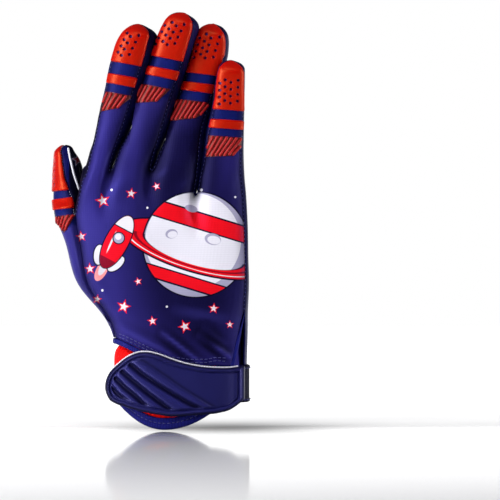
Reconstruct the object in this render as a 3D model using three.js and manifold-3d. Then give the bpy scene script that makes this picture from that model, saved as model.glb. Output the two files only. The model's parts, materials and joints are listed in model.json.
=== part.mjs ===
// Left-hand football glove, standing as if worn, palm towards -Y, fingers up +Z.
// Millimetres. The origin is the centre of the wrist opening, between the wrist slit and the lip.
import * as THREE from "three";
import Module from "manifold-3d";
import { mergeVertices } from "three/addons/utils/BufferGeometryUtils.js";

// Driving sizes
const FABRIC = 1.2;            // wall of the stretch fabric panels
const SEAM_GAP = 0.34;         // gap between two panels that are sewn together
const GRIP_LIFT = 0.55;        // clearance between the fabric and what is moulded onto it
const GRIP_THICK = 1.0;        // silicone fingertip grips
const BAR_THICK = 0.9;         // raised grip bars
const HATCH_THICK = 0.5;       // hatched grip patches
const HOLE_RADIUS = 0.8;       // perforations in the fingertip grips
const BINDING_LIFT = 0.5;      // how far the bound edge stands out from the fabric
const BINDING_WIDTH = 3.4;
const CUFF_WALL = 1.6;
const TAB_THICK = 2.4;         // moulded closing tab
const BACKING_THICK = 0.8;     // hook backing behind the tab
const RIB_HEIGHT = 0.7;
const ROUNDNESS = 0.8;         // of a finger's section: 1 is an ellipse, 0 a box
const SEAM_ANGLE = 38;         // a finger's seams, degrees each side of its width
const MITRE_LIMIT = 0.3;       // smallest cosine by which a seam's corner is stretched

const RAD = Math.PI / 180;
const lerp = (a, b, t) => a + (b - a) * t;
const clamp = (v, lo, hi) => Math.min(hi, Math.max(lo, v));
const smooth = (t) => t * t * (3 - 2 * t);

// A table's row at a given value of its first column, straight between rows
function readTable(table, at) {
  const rows = table.rows;
  const rising = rows[rows.length - 1][0] > rows[0][0];
  let k = 0;
  while (k < rows.length - 2 && (rising ? at > rows[k + 1][0] : at < rows[k + 1][0])) k += 1;
  const t = clamp((at - rows[k][0]) / (rows[k + 1][0] - rows[k][0]), 0, 1);
  const values = {};
  table.columns.forEach((name, c) => { values[name] = lerp(rows[k][c], rows[k + 1][c], t); });
  return values;
}

// A table's columns as smooth curves over 0..1 along its rows
function tableCurve(table) {
  const last = table.rows.length - 1;
  return (v) => {
    const f = clamp(v, 0, 1) * last;
    const k = Math.min(Math.floor(f), last - 1);
    const t = f - k;
    const row = (i) => table.rows[clamp(i, 0, last)];
    const values = {};
    table.columns.forEach((name, c) => {
      const [a, b, d, e] = [row(k - 1)[c], row(k)[c], row(k + 1)[c], row(k + 2)[c]];
      const slope0 = (d - a) / 2;
      const slope1 = (e - b) / 2;
      const t2 = t * t;
      const t3 = t2 * t;
      values[name] = (2 * t3 - 3 * t2 + 1) * b + (t3 - 2 * t2 + t) * slope0
        + (3 * t2 - 2 * t3) * d + (t3 - t2) * slope1;
    });
    return values;
  };
}

// Finger sections from the base to where the rounded tip begins.
// x, y, z: centre; across: width; thick: front to back; turn: degrees about its own length.
const SECTION = ["x", "y", "z", "across", "thick", "turn"];
const FINGERS = {
  index: {
    tip: [-22.0, -9.5, 215.6],
    table: { columns: SECTION, rows: [
      [-45.2, 1.0, 134.0, 14.2, 19.0, -12],
      [-40.6, 1.0, 150.0, 15.8, 18.0, -14],
      [-35.6, -0.5, 167.0, 17.6, 17.2, -15],
      [-31.5, -3.0, 183.0, 18.4, 16.6, -15],
      [-28.0, -6.0, 197.0, 19.4, 16.0, -15],
      [-25.2, -8.0, 207.0, 18.2, 14.5, -15],
    ] },
  },
  middle: {
    tip: [3.0, -12.2, 221.6],
    table: { columns: SECTION, rows: [
      [-26.2, 0.0, 136.0, 20.4, 20.0, -8],
      [-20.4, 0.0, 151.0, 20.4, 18.6, -11],
      [-13.8, -1.8, 169.0, 20.6, 17.6, -14],
      [-8.2, -4.7, 186.0, 20.0, 16.8, -14],
      [-3.2, -8.0, 202.0, 19.8, 16.0, -14],
      [0.3, -10.2, 212.5, 17.6, 14.2, -14],
    ] },
  },
  ring: {
    tip: [19.2, -6.5, 216.0],
    table: { columns: SECTION, rows: [
      [-2.6, 0.0, 133.0, 21.0, 19.6, -5],
      [1.0, 0.4, 148.0, 19.4, 18.2, -9],
      [6.4, 0.0, 165.0, 19.2, 17.2, -12],
      [11.9, -1.2, 182.0, 19.2, 16.2, -13],
      [16.3, -3.0, 196.0, 19.4, 15.4, -13],
      [18.2, -5.2, 207.0, 18.0, 14.0, -13],
    ] },
  },
  little: {
    tip: [28.6, -15.0, 195.2],
    table: { columns: SECTION, rows: [
      [23.6, 0.0, 122.0, 24.0, 19.0, 0],
      [24.6, -1.2, 136.0, 22.0, 17.6, -2],
      [25.8, -3.6, 151.0, 20.0, 16.4, -3],
      [26.8, -7.2, 165.0, 18.2, 15.4, -4],
      [27.4, -11.0, 178.0, 17.0, 14.6, -4],
      [28.4, -13.6, 187.5, 14.8, 13.0, -4],
    ] },
  },
  thumb: {
    tip: [-66.0, 17.0, 148.6],
    table: { columns: SECTION, rows: [
      [-61.9, 10.6, 106.0, 19.6, 18.0, -24],
      [-62.3, 14.8, 114.0, 18.8, 17.0, -40],
      [-62.2, 16.6, 121.0, 19.4, 17.0, -58],
      [-62.2, 17.6, 129.0, 19.6, 17.0, -71],
      [-62.8, 17.8, 137.0, 18.4, 16.0, -76],
      [-64.4, 17.4, 143.0, 14.6, 12.4, -76],
    ] },
  },
};
const LANES = ["index", "middle", "ring", "little"];
const BODY_ROWS = 7;           // rings between a finger's base and where its tip rounds off
const TIP_ARCS = [28, 54, 76]; // degrees round the tip's quarter circle
const ROOT_SHARE = 0.385;      // share of a finger over which it leaves the shape of its root
const ROOT = { rise: 2.0, front: 5.4, back: 4.6, power: 0.7 }; // arch of a finger's root

// The seams at the top of the palm, from its thumb side to its little-finger side: its two ends
// and the crotches between the fingers. front, back: depth of the seams.
const TOP = ["x", "z", "front", "back"];
const TOP_SEAMS = [
  [-51.4, 134.5, -5.6, 6.4], [-38.6, 133.0, -6.0, 6.5], [-15.8, 133.0, -6.5, 6.5],
  [8.6, 119.0, -7.0, 7.0], [35.2, 119.0, -6.4, 6.4],
];

// The palm below the fingers, by height. left, right: its front seams; half: half the thickness;
// front, back: depth of the two seams on the thumb's side; backIn: how far in that back seam
// lies; seam: depth of the two seams on the little finger's side; outer, outerY: the outline on
// the thumb's side.
const PALM = {
  columns: ["z", "left", "right", "half", "front", "back", "backIn", "seam", "outer", "outerY"],
  rows: [
    [136, -51.0, 35.2, 13.0, 5.8, 6.4, 0.0, 6.0, -52.5, 0.0],
    [122, -55.6, 35.6, 14.0, 5.0, 7.6, 1.6, 6.2, -57.0, 1.0],
    [108, -58.4, 36.2, 15.5, 2.6, 9.4, 0.6, 6.6, -70.6, 9.6],
    [97, -57.0, 36.8, 17.0, 4.6, 11.2, 0.6, 7.4, -66.0, 8.4],
    [84, -54.8, 37.2, 18.4, 7.6, 12.0, 0.0, 8.6, -62.6, 6.4],
    [71, -52.0, 37.2, 19.6, 9.6, 12.0, 0.0, 9.6, -58.4, 4.0],
    [60, -46.0, 36.8, 20.6, 10.6, 12.0, 0.0, 10.6, -49.4, 2.0],
    [50, -39.2, 36.2, 21.4, 11.4, 12.0, 0.0, 11.4, -41.6, 1.0],
    [40, -35.4, 35.6, 22.2, 12.0, 12.0, 0.0, 12.0, -37.2, 0.0],
    [20, -34.6, 35.2, 22.6, 12.0, 12.0, 0.0, 12.0, -36.6, 0.0],
  ],
};
const PALM_STEPS = [0, 0.14, 0.28, 0.41, 0.54, 0.68, 0.80, 0.90, 1];
const THUMB_STEP = 2;          // the palm row that meets the thumb's crotch
const SLIT_STEP = 5;           // the palm row at the top of the wrist slit
const PALM_END_LEFT = 39.5;    // height of the palm's lower edge at its left and right
const PALM_END_RIGHT = 24.0;
const SLIT_SHIFT = 7.5;        // how far the slit's left edge has moved across at the bottom
const SLIT_GAP = 0.9;          // how far the slit's right edge stands off the seam's line
const PALM_HOLLOW = { x: -2, z: 84, depth: 3.2, radius: 26 };
const PALM_SECTION = { flat: 2.4, round: 1.5 }; // how flat its middle and how round its sides are
const SIDE_BULGE = { right: 1.8, left: 1.6 };
const CROTCH_DIP = 0.6;        // how much the middle of a crotch lies below its seams
const CROTCH_LEAN = [-0.75, -0.2, 0.2, 0.75]; // a crotch's normals, from its front to its back
const CROTCH_UP = 0.8;
const SETTLE = { palm: 3.2, back: 6 };  // how soon the palm leaves the fingers' roots
const ACROSS = 4;              // columns on the front or back of one finger
const AROUND_SIDE = 3;         // columns on one side of a finger

// A closed skin of quads and triangles, each marked with the panel that it belongs to
const skin = { points: [], faces: [] };

function addPoint(x, y, z) {
  skin.points.push(new THREE.Vector3(x, y, z));
  return skin.points.length - 1;
}

function addFace(panel, ...corners) {
  const ring = corners.filter((c, i) => c !== corners[(i + 1) % corners.length]);
  if (ring.length > 2) skin.faces.push({ panel, ring });
}

// Rows of point numbers joined into faces. Rows run upwards, points run so that faces look out.
function addStrip(panel, rows) {
  for (let j = 0; j < rows.length - 1; j += 1) {
    for (let i = 0; i < rows[j].length - 1; i += 1) {
      addFace(panel, rows[j][i], rows[j][i + 1], rows[j + 1][i + 1], rows[j + 1][i]);
    }
  }
}

// A finger's section as a rounded box, at an angle from its width towards its back
function roundBox(angle, half, depth) {
  const c = Math.cos(angle);
  const s = Math.sin(angle);
  return [half * Math.sign(c) * Math.abs(c) ** ROUNDNESS,
    depth * Math.sign(s) * Math.abs(s) ** ROUNDNESS];
}

const curves = {};
for (const [name, finger] of Object.entries(FINGERS)) curves[name] = tableCurve(finger.table);

// A point on a finger: v is 0 at its base and 1 where the tip rounds off, up to 2 at the tip
function fingerPoint(name, v, angle) {
  const curve = curves[name];
  const at = curve(Math.min(v, 1));
  const ahead = curve(Math.min(v, 1) + 0.02);
  const behind = curve(Math.min(v, 1) - 0.02);
  const centre = new THREE.Vector3(at.x, at.y, at.z);
  const along = new THREE.Vector3(ahead.x - behind.x, ahead.y - behind.y, ahead.z - behind.z);
  let grow = 1;
  if (v > 1) {
    const tip = new THREE.Vector3(...FINGERS[name].tip);
    const arc = (v - 1) * Math.PI / 2;
    centre.lerp(tip, Math.sin(arc));
    grow = Math.cos(arc);
  }
  along.normalize();
  const across = new THREE.Vector3(along.z, 0, -along.x).normalize();
  const back = new THREE.Vector3().crossVectors(along, across).normalize();
  const [u, w] = roundBox(angle, at.across / 2 * grow, at.thick / 2 * grow);
  const turn = at.turn * RAD;
  centre.addScaledVector(across, u * Math.cos(turn) - w * Math.sin(turn));
  centre.addScaledVector(back, u * Math.sin(turn) + w * Math.cos(turn));
  return centre;
}

// Angles round a finger, from its right front seam over the back to the front again
const sideStep = 2 * SEAM_ANGLE / AROUND_SIDE;
const faceStep = (180 - 2 * SEAM_ANGLE) / ACROSS;
const ANGLES = {
  right: [...Array(AROUND_SIDE + 1)].map((_, i) => -SEAM_ANGLE + i * sideStep),
  back: [...Array(ACROSS + 1)].map((_, i) => SEAM_ANGLE + i * faceStep),
  left: [...Array(AROUND_SIDE + 1)].map((_, i) => 180 - SEAM_ANGLE + i * sideStep),
  front: [...Array(ACROSS + 1)].map((_, i) => 180 + SEAM_ANGLE + i * faceStep),
};
const RING = [...ANGLES.right, ...ANGLES.back.slice(1), ...ANGLES.left.slice(1),
  ...ANGLES.front.slice(1, -1)];
const RING_SPAN = {
  right: [0, AROUND_SIDE],
  back: [AROUND_SIDE, AROUND_SIDE + ACROSS],
  left: [AROUND_SIDE + ACROSS, 2 * AROUND_SIDE + ACROSS],
  front: [2 * AROUND_SIDE + ACROSS, 2 * AROUND_SIDE + 2 * ACROSS],
};

// One part of a ring of point numbers, in the ring's own direction
function span(ring, part) {
  const [from, to] = RING_SPAN[part];
  const out = [];
  for (let i = from; i <= to; i += 1) out.push(ring[i % ring.length]);
  return out;
}

// Raises a finger on a base ring whose points are already there, and closes its tip
function raiseFinger(name, base) {
  const rings = [base];
  const miss = base.map((id, k) => {
    return skin.points[id].clone().sub(fingerPoint(name, 0, RING[k] * RAD));
  });
  for (let j = 1; j <= BODY_ROWS; j += 1) {
    const v = j / BODY_ROWS;
    const pull = Math.max(0, 1 - v / ROOT_SHARE) ** 2;
    rings.push(RING.map((angle, k) => {
      const p = fingerPoint(name, v, angle * RAD).addScaledVector(miss[k], pull);
      return addPoint(p.x, p.y, p.z);
    }));
  }
  for (const arc of TIP_ARCS) {
    rings.push(RING.map((angle) => {
      const p = fingerPoint(name, 1 + arc / 90, angle * RAD);
      return addPoint(p.x, p.y, p.z);
    }));
  }
  const tip = addPoint(...FINGERS[name].tip);
  rings.push(RING.map(() => tip));
  return rings;
}

// The palm's depth in front of (side -1) or behind (side 1) its middle, across its width
function palmDepth(row, x, side) {
  const share = clamp((x - row.left) / (row.right - row.left), 0, 1);
  const seam = lerp(side < 0 ? row.front : row.back, row.seam, smooth(share));
  const { flat, round } = PALM_SECTION;
  return side * (seam + (row.half - seam) * (1 - Math.abs(share * 2 - 1) ** flat) ** (1 / round));
}

const palmTop = [];
const edges = TOP_SEAMS.map((row) => Object.fromEntries(TOP.map((key, c) => [key, row[c]])));
for (let lane = 0; lane < LANES.length; lane += 1) {
  for (let i = 0; i <= ACROSS; i += 1) {
    if (i === ACROSS && lane < LANES.length - 1) continue;
    const t = i / ACROSS;
    const arch = 4 * t * (1 - t);
    palmTop.push({
      x: lerp(edges[lane].x, edges[lane + 1].x, t),
      z: lerp(edges[lane].z, edges[lane + 1].z, t) + ROOT.rise * arch,
      front: lerp(edges[lane].front, edges[lane + 1].front, t) - ROOT.front * arch ** ROOT.power,
      back: lerp(edges[lane].back, edges[lane + 1].back, t) + ROOT.back * arch ** ROOT.power,
    });
  }
}
const COLUMNS = palmTop.length - 1;

// A palm point on the front (side -1) or back (side 1), at a column and a step down from the top
function palmPoint(column, step, side) {
  const top = palmTop[column];
  const f = column / COLUMNS;
  const endZ = lerp(PALM_END_LEFT, PALM_END_RIGHT, f);
  const z = lerp(top.z, endZ, step);
  const row = readTable(PALM, z);
  const topRow = readTable(PALM, top.z);
  const topShare = (top.x - topRow.left) / (topRow.right - topRow.left);
  const slit = PALM_STEPS[SLIT_STEP];
  const shift = side < 0 ? SLIT_SHIFT * Math.max(0, (step - slit) / (1 - slit)) : 0;
  const share = lerp(topShare, f, smooth(step));
  const inwards = side > 0 ? row.backIn * smooth(clamp(step * SETTLE.back, 0, 1)) : 0;
  const x = lerp(row.left + inwards, row.right - shift * (f > 0.5 ? 1 : f * 2), share);
  const hollow = PALM_HOLLOW;
  const far = Math.hypot(x - hollow.x, z - hollow.z) / hollow.radius;
  const dent = side < 0 ? hollow.depth * Math.exp(-far * far) : 0;
  const settled = smooth(clamp(step * SETTLE.palm, 0, 1));
  const topY = side < 0 ? top.front : top.back;
  const y = lerp(topY, palmDepth(row, x, side), settled) + dent;
  return addPoint(x, y, z);
}

const palmFront = [];
const palmBack = [];
for (let j = 0; j < PALM_STEPS.length; j += 1) {
  palmFront.push(palmTop.map((_, i) => palmPoint(i, PALM_STEPS[j], -1)));
  palmBack.push(palmTop.map((_, i) => palmPoint(i, PALM_STEPS[j], 1)));
}

// Points between a front and a back seam, round a side that bulges outwards by reach
function sideArc(front, back, count, reach) {
  const a = skin.points[front];
  const b = skin.points[back];
  const ids = [front];
  for (let i = 1; i < count; i += 1) {
    const t = i / count;
    const p = a.clone().lerp(b, t);
    ids.push(addPoint(p.x + reach * 4 * t * (1 - t), p.y, p.z));
  }
  ids.push(back);
  return ids;
}

// The right side, from front seam to back seam, and the left side down to the thumb's crotch.
// Below the slit's top the side has a front edge of its own.
const rightSide = [];
for (let j = 0; j < PALM_STEPS.length; j += 1) {
  let front = palmFront[j][COLUMNS];
  if (j > SLIT_STEP) {
    const p = skin.points[front];
    const row = readTable(PALM, p.z);
    front = addPoint(row.right + SLIT_GAP, SLIT_GAP - row.seam, p.z);
  }
  rightSide.push(sideArc(front, palmBack[j][COLUMNS], AROUND_SIDE, SIDE_BULGE.right));
}
const leftSide = [];
for (let j = 0; j <= THUMB_STEP; j += 1) {
  leftSide.push(sideArc(palmFront[j][0], palmBack[j][0], AROUND_SIDE, -SIDE_BULGE.left));
}

// Crotches between the four fingers: front seam, two points, back seam
const saddles = [1, 2, 3].map((lane) => {
  return sideArc(palmFront[0][lane * ACROSS], palmBack[0][lane * ACROSS], AROUND_SIDE, 0);
});
for (const saddle of saddles) {
  for (const id of saddle.slice(1, -1)) skin.points[id].z -= CROTCH_DIP;
}

// The four fingers
const rings = {};
LANES.forEach((name, lane) => {
  const first = lane * ACROSS;
  const right = lane === LANES.length - 1 ? rightSide[0] : saddles[lane];
  const left = lane === 0 ? leftSide[0] : saddles[lane - 1];
  const back = palmBack[0].slice(first, first + ACROSS + 1).reverse();
  const front = palmFront[0].slice(first, first + ACROSS + 1);
  const base = [...right, ...back.slice(1), ...[...left].reverse().slice(1), ...front.slice(1, -1)];
  rings[name] = raiseFinger(name, base);
});

// The thumb's side of the palm, from front seam round the outline to back seam
const THUMB_LOOP = 2 * ACROSS + AROUND_SIDE;
function thumbLoop(j) {
  const front = skin.points[palmFront[j][0]];
  const back = skin.points[palmBack[j][0]];
  const row = readTable(PALM, front.z);
  const ids = [palmFront[j][0]];
  for (let i = 1; i < THUMB_LOOP; i += 1) {
    const t = i / THUMB_LOOP;
    const angle = t * Math.PI;
    const seam = t < 0.5 ? front : back;
    const out = Math.sin(angle);
    const swing = Math.cos(angle);
    const x = seam.x + (row.outer - seam.x) * out;
    const y = row.outerY + Math.abs(seam.y - row.outerY) * -swing;
    ids.push(addPoint(x, y, lerp(front.z, back.z, t)));
  }
  ids.push(palmBack[j][0]);
  return ids;
}
const thumbLoops = [];
for (let j = THUMB_STEP; j < PALM_STEPS.length; j += 1) thumbLoops.push(thumbLoop(j));

// The thumb starts on its loop and the crotch towards the index finger
const thumbSaddle = leftSide[THUMB_STEP];
const fromFront = thumbLoops[0];
const thumbBase = [...thumbSaddle, ...[...fromFront].reverse().slice(1, -1)];
rings.thumb = raiseFinger("thumb", thumbBase);

// Panels
for (const name of LANES) {
  addStrip("palm_panel", rings[name].map((ring) => span(ring, "front")));
  addStrip("back_panel", rings[name].map((ring) => span(ring, "back")));
}
addStrip("thumb_panel", rings.thumb.map((ring) => span(ring, "left")));
addStrip("thumb_panel", rings.thumb.map((ring) => span(ring, "front")));
addStrip("back_panel", rings.thumb.map((ring) => span(ring, "back")));
addStrip("palm_panel", [...palmFront].reverse());
addStrip("back_panel", [...palmBack].reverse().map((row) => [...row].reverse()));
const loopsUp = [...thumbLoops].reverse();
const backFrom = THUMB_LOOP - ACROSS;
addStrip("thumb_panel", loopsUp.map((loop) => loop.slice(0, backFrom + 1).reverse()));
addStrip("back_panel", loopsUp.map((loop) => loop.slice(backFrom).reverse()));

const sides = (name, part) => rings[name].map((ring) => span(ring, part));
const pairs = [["index", "middle"], ["middle", "ring"], ["ring", "little"]];
for (const [one, two] of pairs) {
  addStrip(`gusset_${one}_${two}`, sides(one, "right"));
  addStrip(`gusset_${one}_${two}`, sides(two, "left"));
}
addStrip("gusset_thumb_index", sides("thumb", "right"));
addStrip("gusset_thumb_index", sides("index", "left"));
addStrip("gusset_thumb_index", [...leftSide].reverse().map((row) => [...row].reverse()));
addStrip("side_strip_little", sides("little", "right"));
addStrip("side_strip_little", [...rightSide].reverse());

// The bound lower edge, all the way round, and up the palm's edge of the slit
const lastRow = PALM_STEPS.length - 1;
function below(id) {
  const p = skin.points[id];
  return addPoint(p.x, p.y, p.z - BINDING_WIDTH);
}
const hemTop = [...[...thumbLoops[thumbLoops.length - 1]].reverse().slice(0, -1), ...palmFront[lastRow]];
const SLIT_BINDING = [0, 1.7, 2.6, 2.6]; // its width at each palm row, from the slit's top down
const SLIT_ROLL = 0.35;        // how much it rolls inwards over its width
const slitBinding = [];
for (let j = SLIT_STEP; j < PALM_STEPS.length; j += 1) {
  const inner = palmFront[j][COLUMNS];
  const p = skin.points[inner];
  const reach = SLIT_BINDING[j - SLIT_STEP];
  const outer = reach === 0 ? inner : addPoint(p.x + reach, p.y + reach * SLIT_ROLL, p.z);
  slitBinding.push([inner, outer]);
}
hemTop.push(slitBinding[slitBinding.length - 1][1]);
addStrip("palm_binding", [...slitBinding].reverse());
addStrip("palm_binding", [hemTop.map(below), hemTop]);
const backHem = [...rightSide[lastRow].slice(0, -1), ...[...palmBack[lastRow]].reverse()];
const backJoin = below(backHem[backHem.length - 1]);
addStrip("back_binding", [[...backHem.slice(0, -1).map(below), backJoin], backHem]);

// Normals shared by all the panels, so that seams are mitred
const normals = skin.points.map(() => new THREE.Vector3());
for (const { ring } of skin.faces) {
  const normal = new THREE.Vector3();
  for (let i = 1; i < ring.length - 1; i += 1) {
    const a = skin.points[ring[0]];
    const b = skin.points[ring[i]].clone().sub(a);
    const c = skin.points[ring[i + 1]].clone().sub(a);
    normal.add(b.cross(c));
  }
  normal.normalize();
  for (const id of ring) normals[id].add(normal);
}
normals.forEach((n) => n.normalize());

// In a crotch the faces on both sides cancel out, so its points face up and to their own side
for (const saddle of [...saddles, thumbSaddle]) {
  saddle.forEach((id, i) => normals[id].set(0, CROTCH_LEAN[i], CROTCH_UP).normalize());
}

// A closed solid from one panel's faces: drawn in from its seams, then given its thickness
function thicken(faces, points, pointNormals, outward, inward, inset) {
  const edgesSeen = new Map();
  for (const ring of faces) {
    ring.forEach((a, i) => edgesSeen.set(`${a},${ring[(i + 1) % ring.length]}`, ring));
  }
  const border = [];
  for (const key of edgesSeen.keys()) {
    const [a, b] = key.split(",").map(Number);
    if (!edgesSeen.has(`${b},${a}`)) border.push([a, b]);
  }
  const moves = new Map();
  for (const [a, b] of border) {
    const edge = points[b].clone().sub(points[a]).normalize();
    for (const id of [a, b]) {
      const inwards = pointNormals[id].clone().cross(edge).normalize();
      if (!moves.has(id)) moves.set(id, []);
      moves.get(id).push(inwards);
    }
  }
  const used = new Map();
  const top = [];
  const bottom = [];
  const place = (id) => {
    if (!used.has(id)) {
      const p = points[id].clone();
      const pulls = moves.get(id);
      if (pulls) {
        const middle = pulls.reduce((sum, m) => sum.add(m), new THREE.Vector3()).normalize();
        const spread = clamp(middle.dot(pulls[0]), MITRE_LIMIT, 1);
        p.addScaledVector(middle, inset / spread);
      }
      used.set(id, top.length);
      top.push(p.clone().addScaledVector(pointNormals[id], outward));
      bottom.push(p.clone().addScaledVector(pointNormals[id], -inward));
    }
    return used.get(id);
  };
  const triangles = [];
  for (const ring of faces) {
    const ids = ring.map(place);
    const swap = ids.length === 4 && diagonalSwap(top, ids);
    const order = swap ? [ids[1], ids[2], ids[3], ids[0]] : ids;
    for (let i = 1; i < order.length - 1; i += 1) {
      triangles.push([order[0], order[i], order[i + 1]]);
    }
  }
  const count = top.length;
  const all = [...top, ...bottom];
  const solid = [];
  for (const [a, b, c] of triangles) {
    solid.push([a, b, c], [a + count, c + count, b + count]);
  }
  for (const [a, b] of border) {
    const p = place(a);
    const q = place(b);
    if (a < b) solid.push([p, p + count, q], [q, p + count, q + count]);
    else solid.push([p, p + count, q + count], [p, q + count, q]);
  }
  return toGeometry(all, solid);
}

// Whether a quad folds outwards better along its other diagonal
function diagonalSwap(points, [a, b, c, d]) {
  return points[b].distanceTo(points[d]) < points[a].distanceTo(points[c]);
}

function toGeometry(points, triangles) {
  const geometry = new THREE.BufferGeometry();
  const flat = new Float32Array(points.length * 3);
  points.forEach((p, i) => p.toArray(flat, i * 3));
  geometry.setAttribute("position", new THREE.BufferAttribute(flat, 3));
  geometry.setIndex(triangles.flat());
  return geometry;
}

// A sheet from a function of two grid positions, with its own normals
function sheet(columns, rows, at, outward, inward, closed = false) {
  const points = [];
  const faces = [];
  const wide = closed ? columns : columns + 1;
  for (let j = 0; j <= rows; j += 1) {
    for (let i = 0; i < wide; i += 1) points.push(at(i / columns, j / rows));
  }
  for (let j = 0; j < rows; j += 1) {
    for (let i = 0; i < columns; i += 1) {
      const next = (i + 1) % wide;
      faces.push([j * wide + i, j * wide + next, (j + 1) * wide + next, (j + 1) * wide + i]);
    }
  }
  const own = points.map(() => new THREE.Vector3());
  for (const ring of faces) {
    const ab = points[ring[2]].clone().sub(points[ring[0]]);
    const cd = points[ring[3]].clone().sub(points[ring[1]]);
    const normal = ab.cross(cd).normalize();
    for (const id of ring) own[id].add(normal);
  }
  own.forEach((n) => n.normalize());
  return thicken(faces, points, own, outward, inward, 0);
}

// Booleans
const wasm = await Module();
wasm.setup();

function toManifold(geometry) {
  const clean = mergeVertices(geometry, 1e-4);
  return new wasm.Manifold(new wasm.Mesh({
    numProp: 3,
    vertProperties: new Float32Array(clean.getAttribute("position").array),
    triVerts: new Uint32Array(clean.index.array),
  }));
}

function fromManifold(solid) {
  const mesh = solid.getMesh();
  const geometry = new THREE.BufferGeometry();
  geometry.setAttribute("position", new THREE.BufferAttribute(mesh.vertProperties, 3));
  geometry.setIndex([...mesh.triVerts]);
  return geometry;
}

// Finishes
const finish = (color, roughness) => ({ color, roughness, metalness: 0 });
const FINISHES = {
  print: finish(0x2c2668, 0.62),
  navy: finish(0x0b0a1c, 0.75),
  royal: finish(0x15258a, 0.7),
  grip: finish(0xd8280c, 0.22),
  hatch: finish(0x7a1420, 0.45),
  cuff: finish(0xf01010, 0.8),
  strap: finish(0x1c1d4c, 0.38),
  white: finish(0xd6d4e4, 0.7),
};

const glove = new THREE.Group();
function addPiece(name, geometry, look) {
  const mesh = new THREE.Mesh(geometry, new THREE.MeshStandardMaterial(FINISHES[look]));
  mesh.name = name;
  glove.add(mesh);
}

const PANELS = {
  palm_panel: "print", thumb_panel: "print", back_panel: "navy", side_strip_little: "royal",
  gusset_thumb_index: "royal", gusset_index_middle: "royal", gusset_middle_ring: "royal",
  gusset_ring_little: "royal",
};
const panelFaces = (panel) => skin.faces.filter((f) => f.panel === panel).map((f) => f.ring);
for (const [panel, look] of Object.entries(PANELS)) {
  addPiece(panel, thicken(panelFaces(panel), skin.points, normals, 0, FABRIC, SEAM_GAP / 2), look);
}
for (const panel of ["palm_binding", "back_binding"]) {
  const faces = panelFaces(panel);
  const solid = thicken(faces, skin.points, normals, BINDING_LIFT, FABRIC, SEAM_GAP / 2);
  addPiece(panel, solid, "royal");
}

// Grips on the fronts of the fingers, in mm below the fingertip as the palm's side shows them.
// slant: how much lower their left edge lies than their right one.
const GRIP = ["padEnd", "barTop", "barEnd", "hatchTop", "hatchEnd", "slant"];
const GRIPS = {
  index: [24.6, 31.2, 36.9, 41.6, 50.4, 2.2],
  middle: [28.3, 33.9, 39.2, 44.6, 53.8, 2.6],
  ring: [30.4, 35.4, 40.6, 45.8, 55.0, 3.0],
  little: [28.9, 34.2, 39.3, 43.5, 55.2, 0],
  thumb: [26.6, 31.0, 37.0, 40.6, 49.4, 0],
};
const GRIP_STARTS = [0.4, 1.4]; // depths below the fingertip of a pad's upper edge and next row
const GRIP_MARGIN = 0.14;      // share of a column left free at each side seam
const PATCH_ROW_GAP = 1.5;     // least distance of a patch's own rows from its edges

// A finger's front as rows of point numbers, from the fingertip down, each from left to right
function frontRows(name) {
  const rows = rings[name].map((ring) => span(ring, "front")).reverse();
  if (name !== "thumb") return rows;
  return [...rows, ...thumbLoops.slice(1).map((loop) => loop.slice(0, ACROSS + 1).reverse())];
}

// Where a finger's front lies at a depth below its tip and a place across it, and its normal
function frontAt(name) {
  const rows = frontRows(name);
  const middles = rows.map((row) => skin.points[row[ACROSS / 2]]);
  const depths = [0];
  for (let j = 1; j < rows.length; j += 1) {
    const step = Math.hypot(middles[j].x - middles[j - 1].x, middles[j].z - middles[j - 1].z);
    depths.push(depths[j - 1] + step);
  }
  const at = (depth, place) => {
    let j = 0;
    while (j < rows.length - 2 && depths[j + 1] < depth) j += 1;
    const t = clamp((depth - depths[j]) / (depths[j + 1] - depths[j]), 0, 1);
    const column = clamp(place, 0, 1) * (ACROSS - 2 * GRIP_MARGIN) + GRIP_MARGIN;
    const i = Math.min(Math.floor(column), ACROSS - 1);
    const mix = (list) => {
      const high = list[rows[j][i]].clone().lerp(list[rows[j][i + 1]], column - i);
      const low = list[rows[j + 1][i]].clone().lerp(list[rows[j + 1][i + 1]], column - i);
      return high.lerp(low, t);
    };
    return { point: mix(skin.points), normal: mix(normals).normalize() };
  };
  return { at, depths };
}

// Depths from a patch's lower to its upper edge, with the fabric's own rows between them
function patchRows(rowDepths, low, high) {
  const between = rowDepths.filter((d) => d < low - PATCH_ROW_GAP && d > high + PATCH_ROW_GAP).reverse();
  return [low, ...between, high];
}

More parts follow.
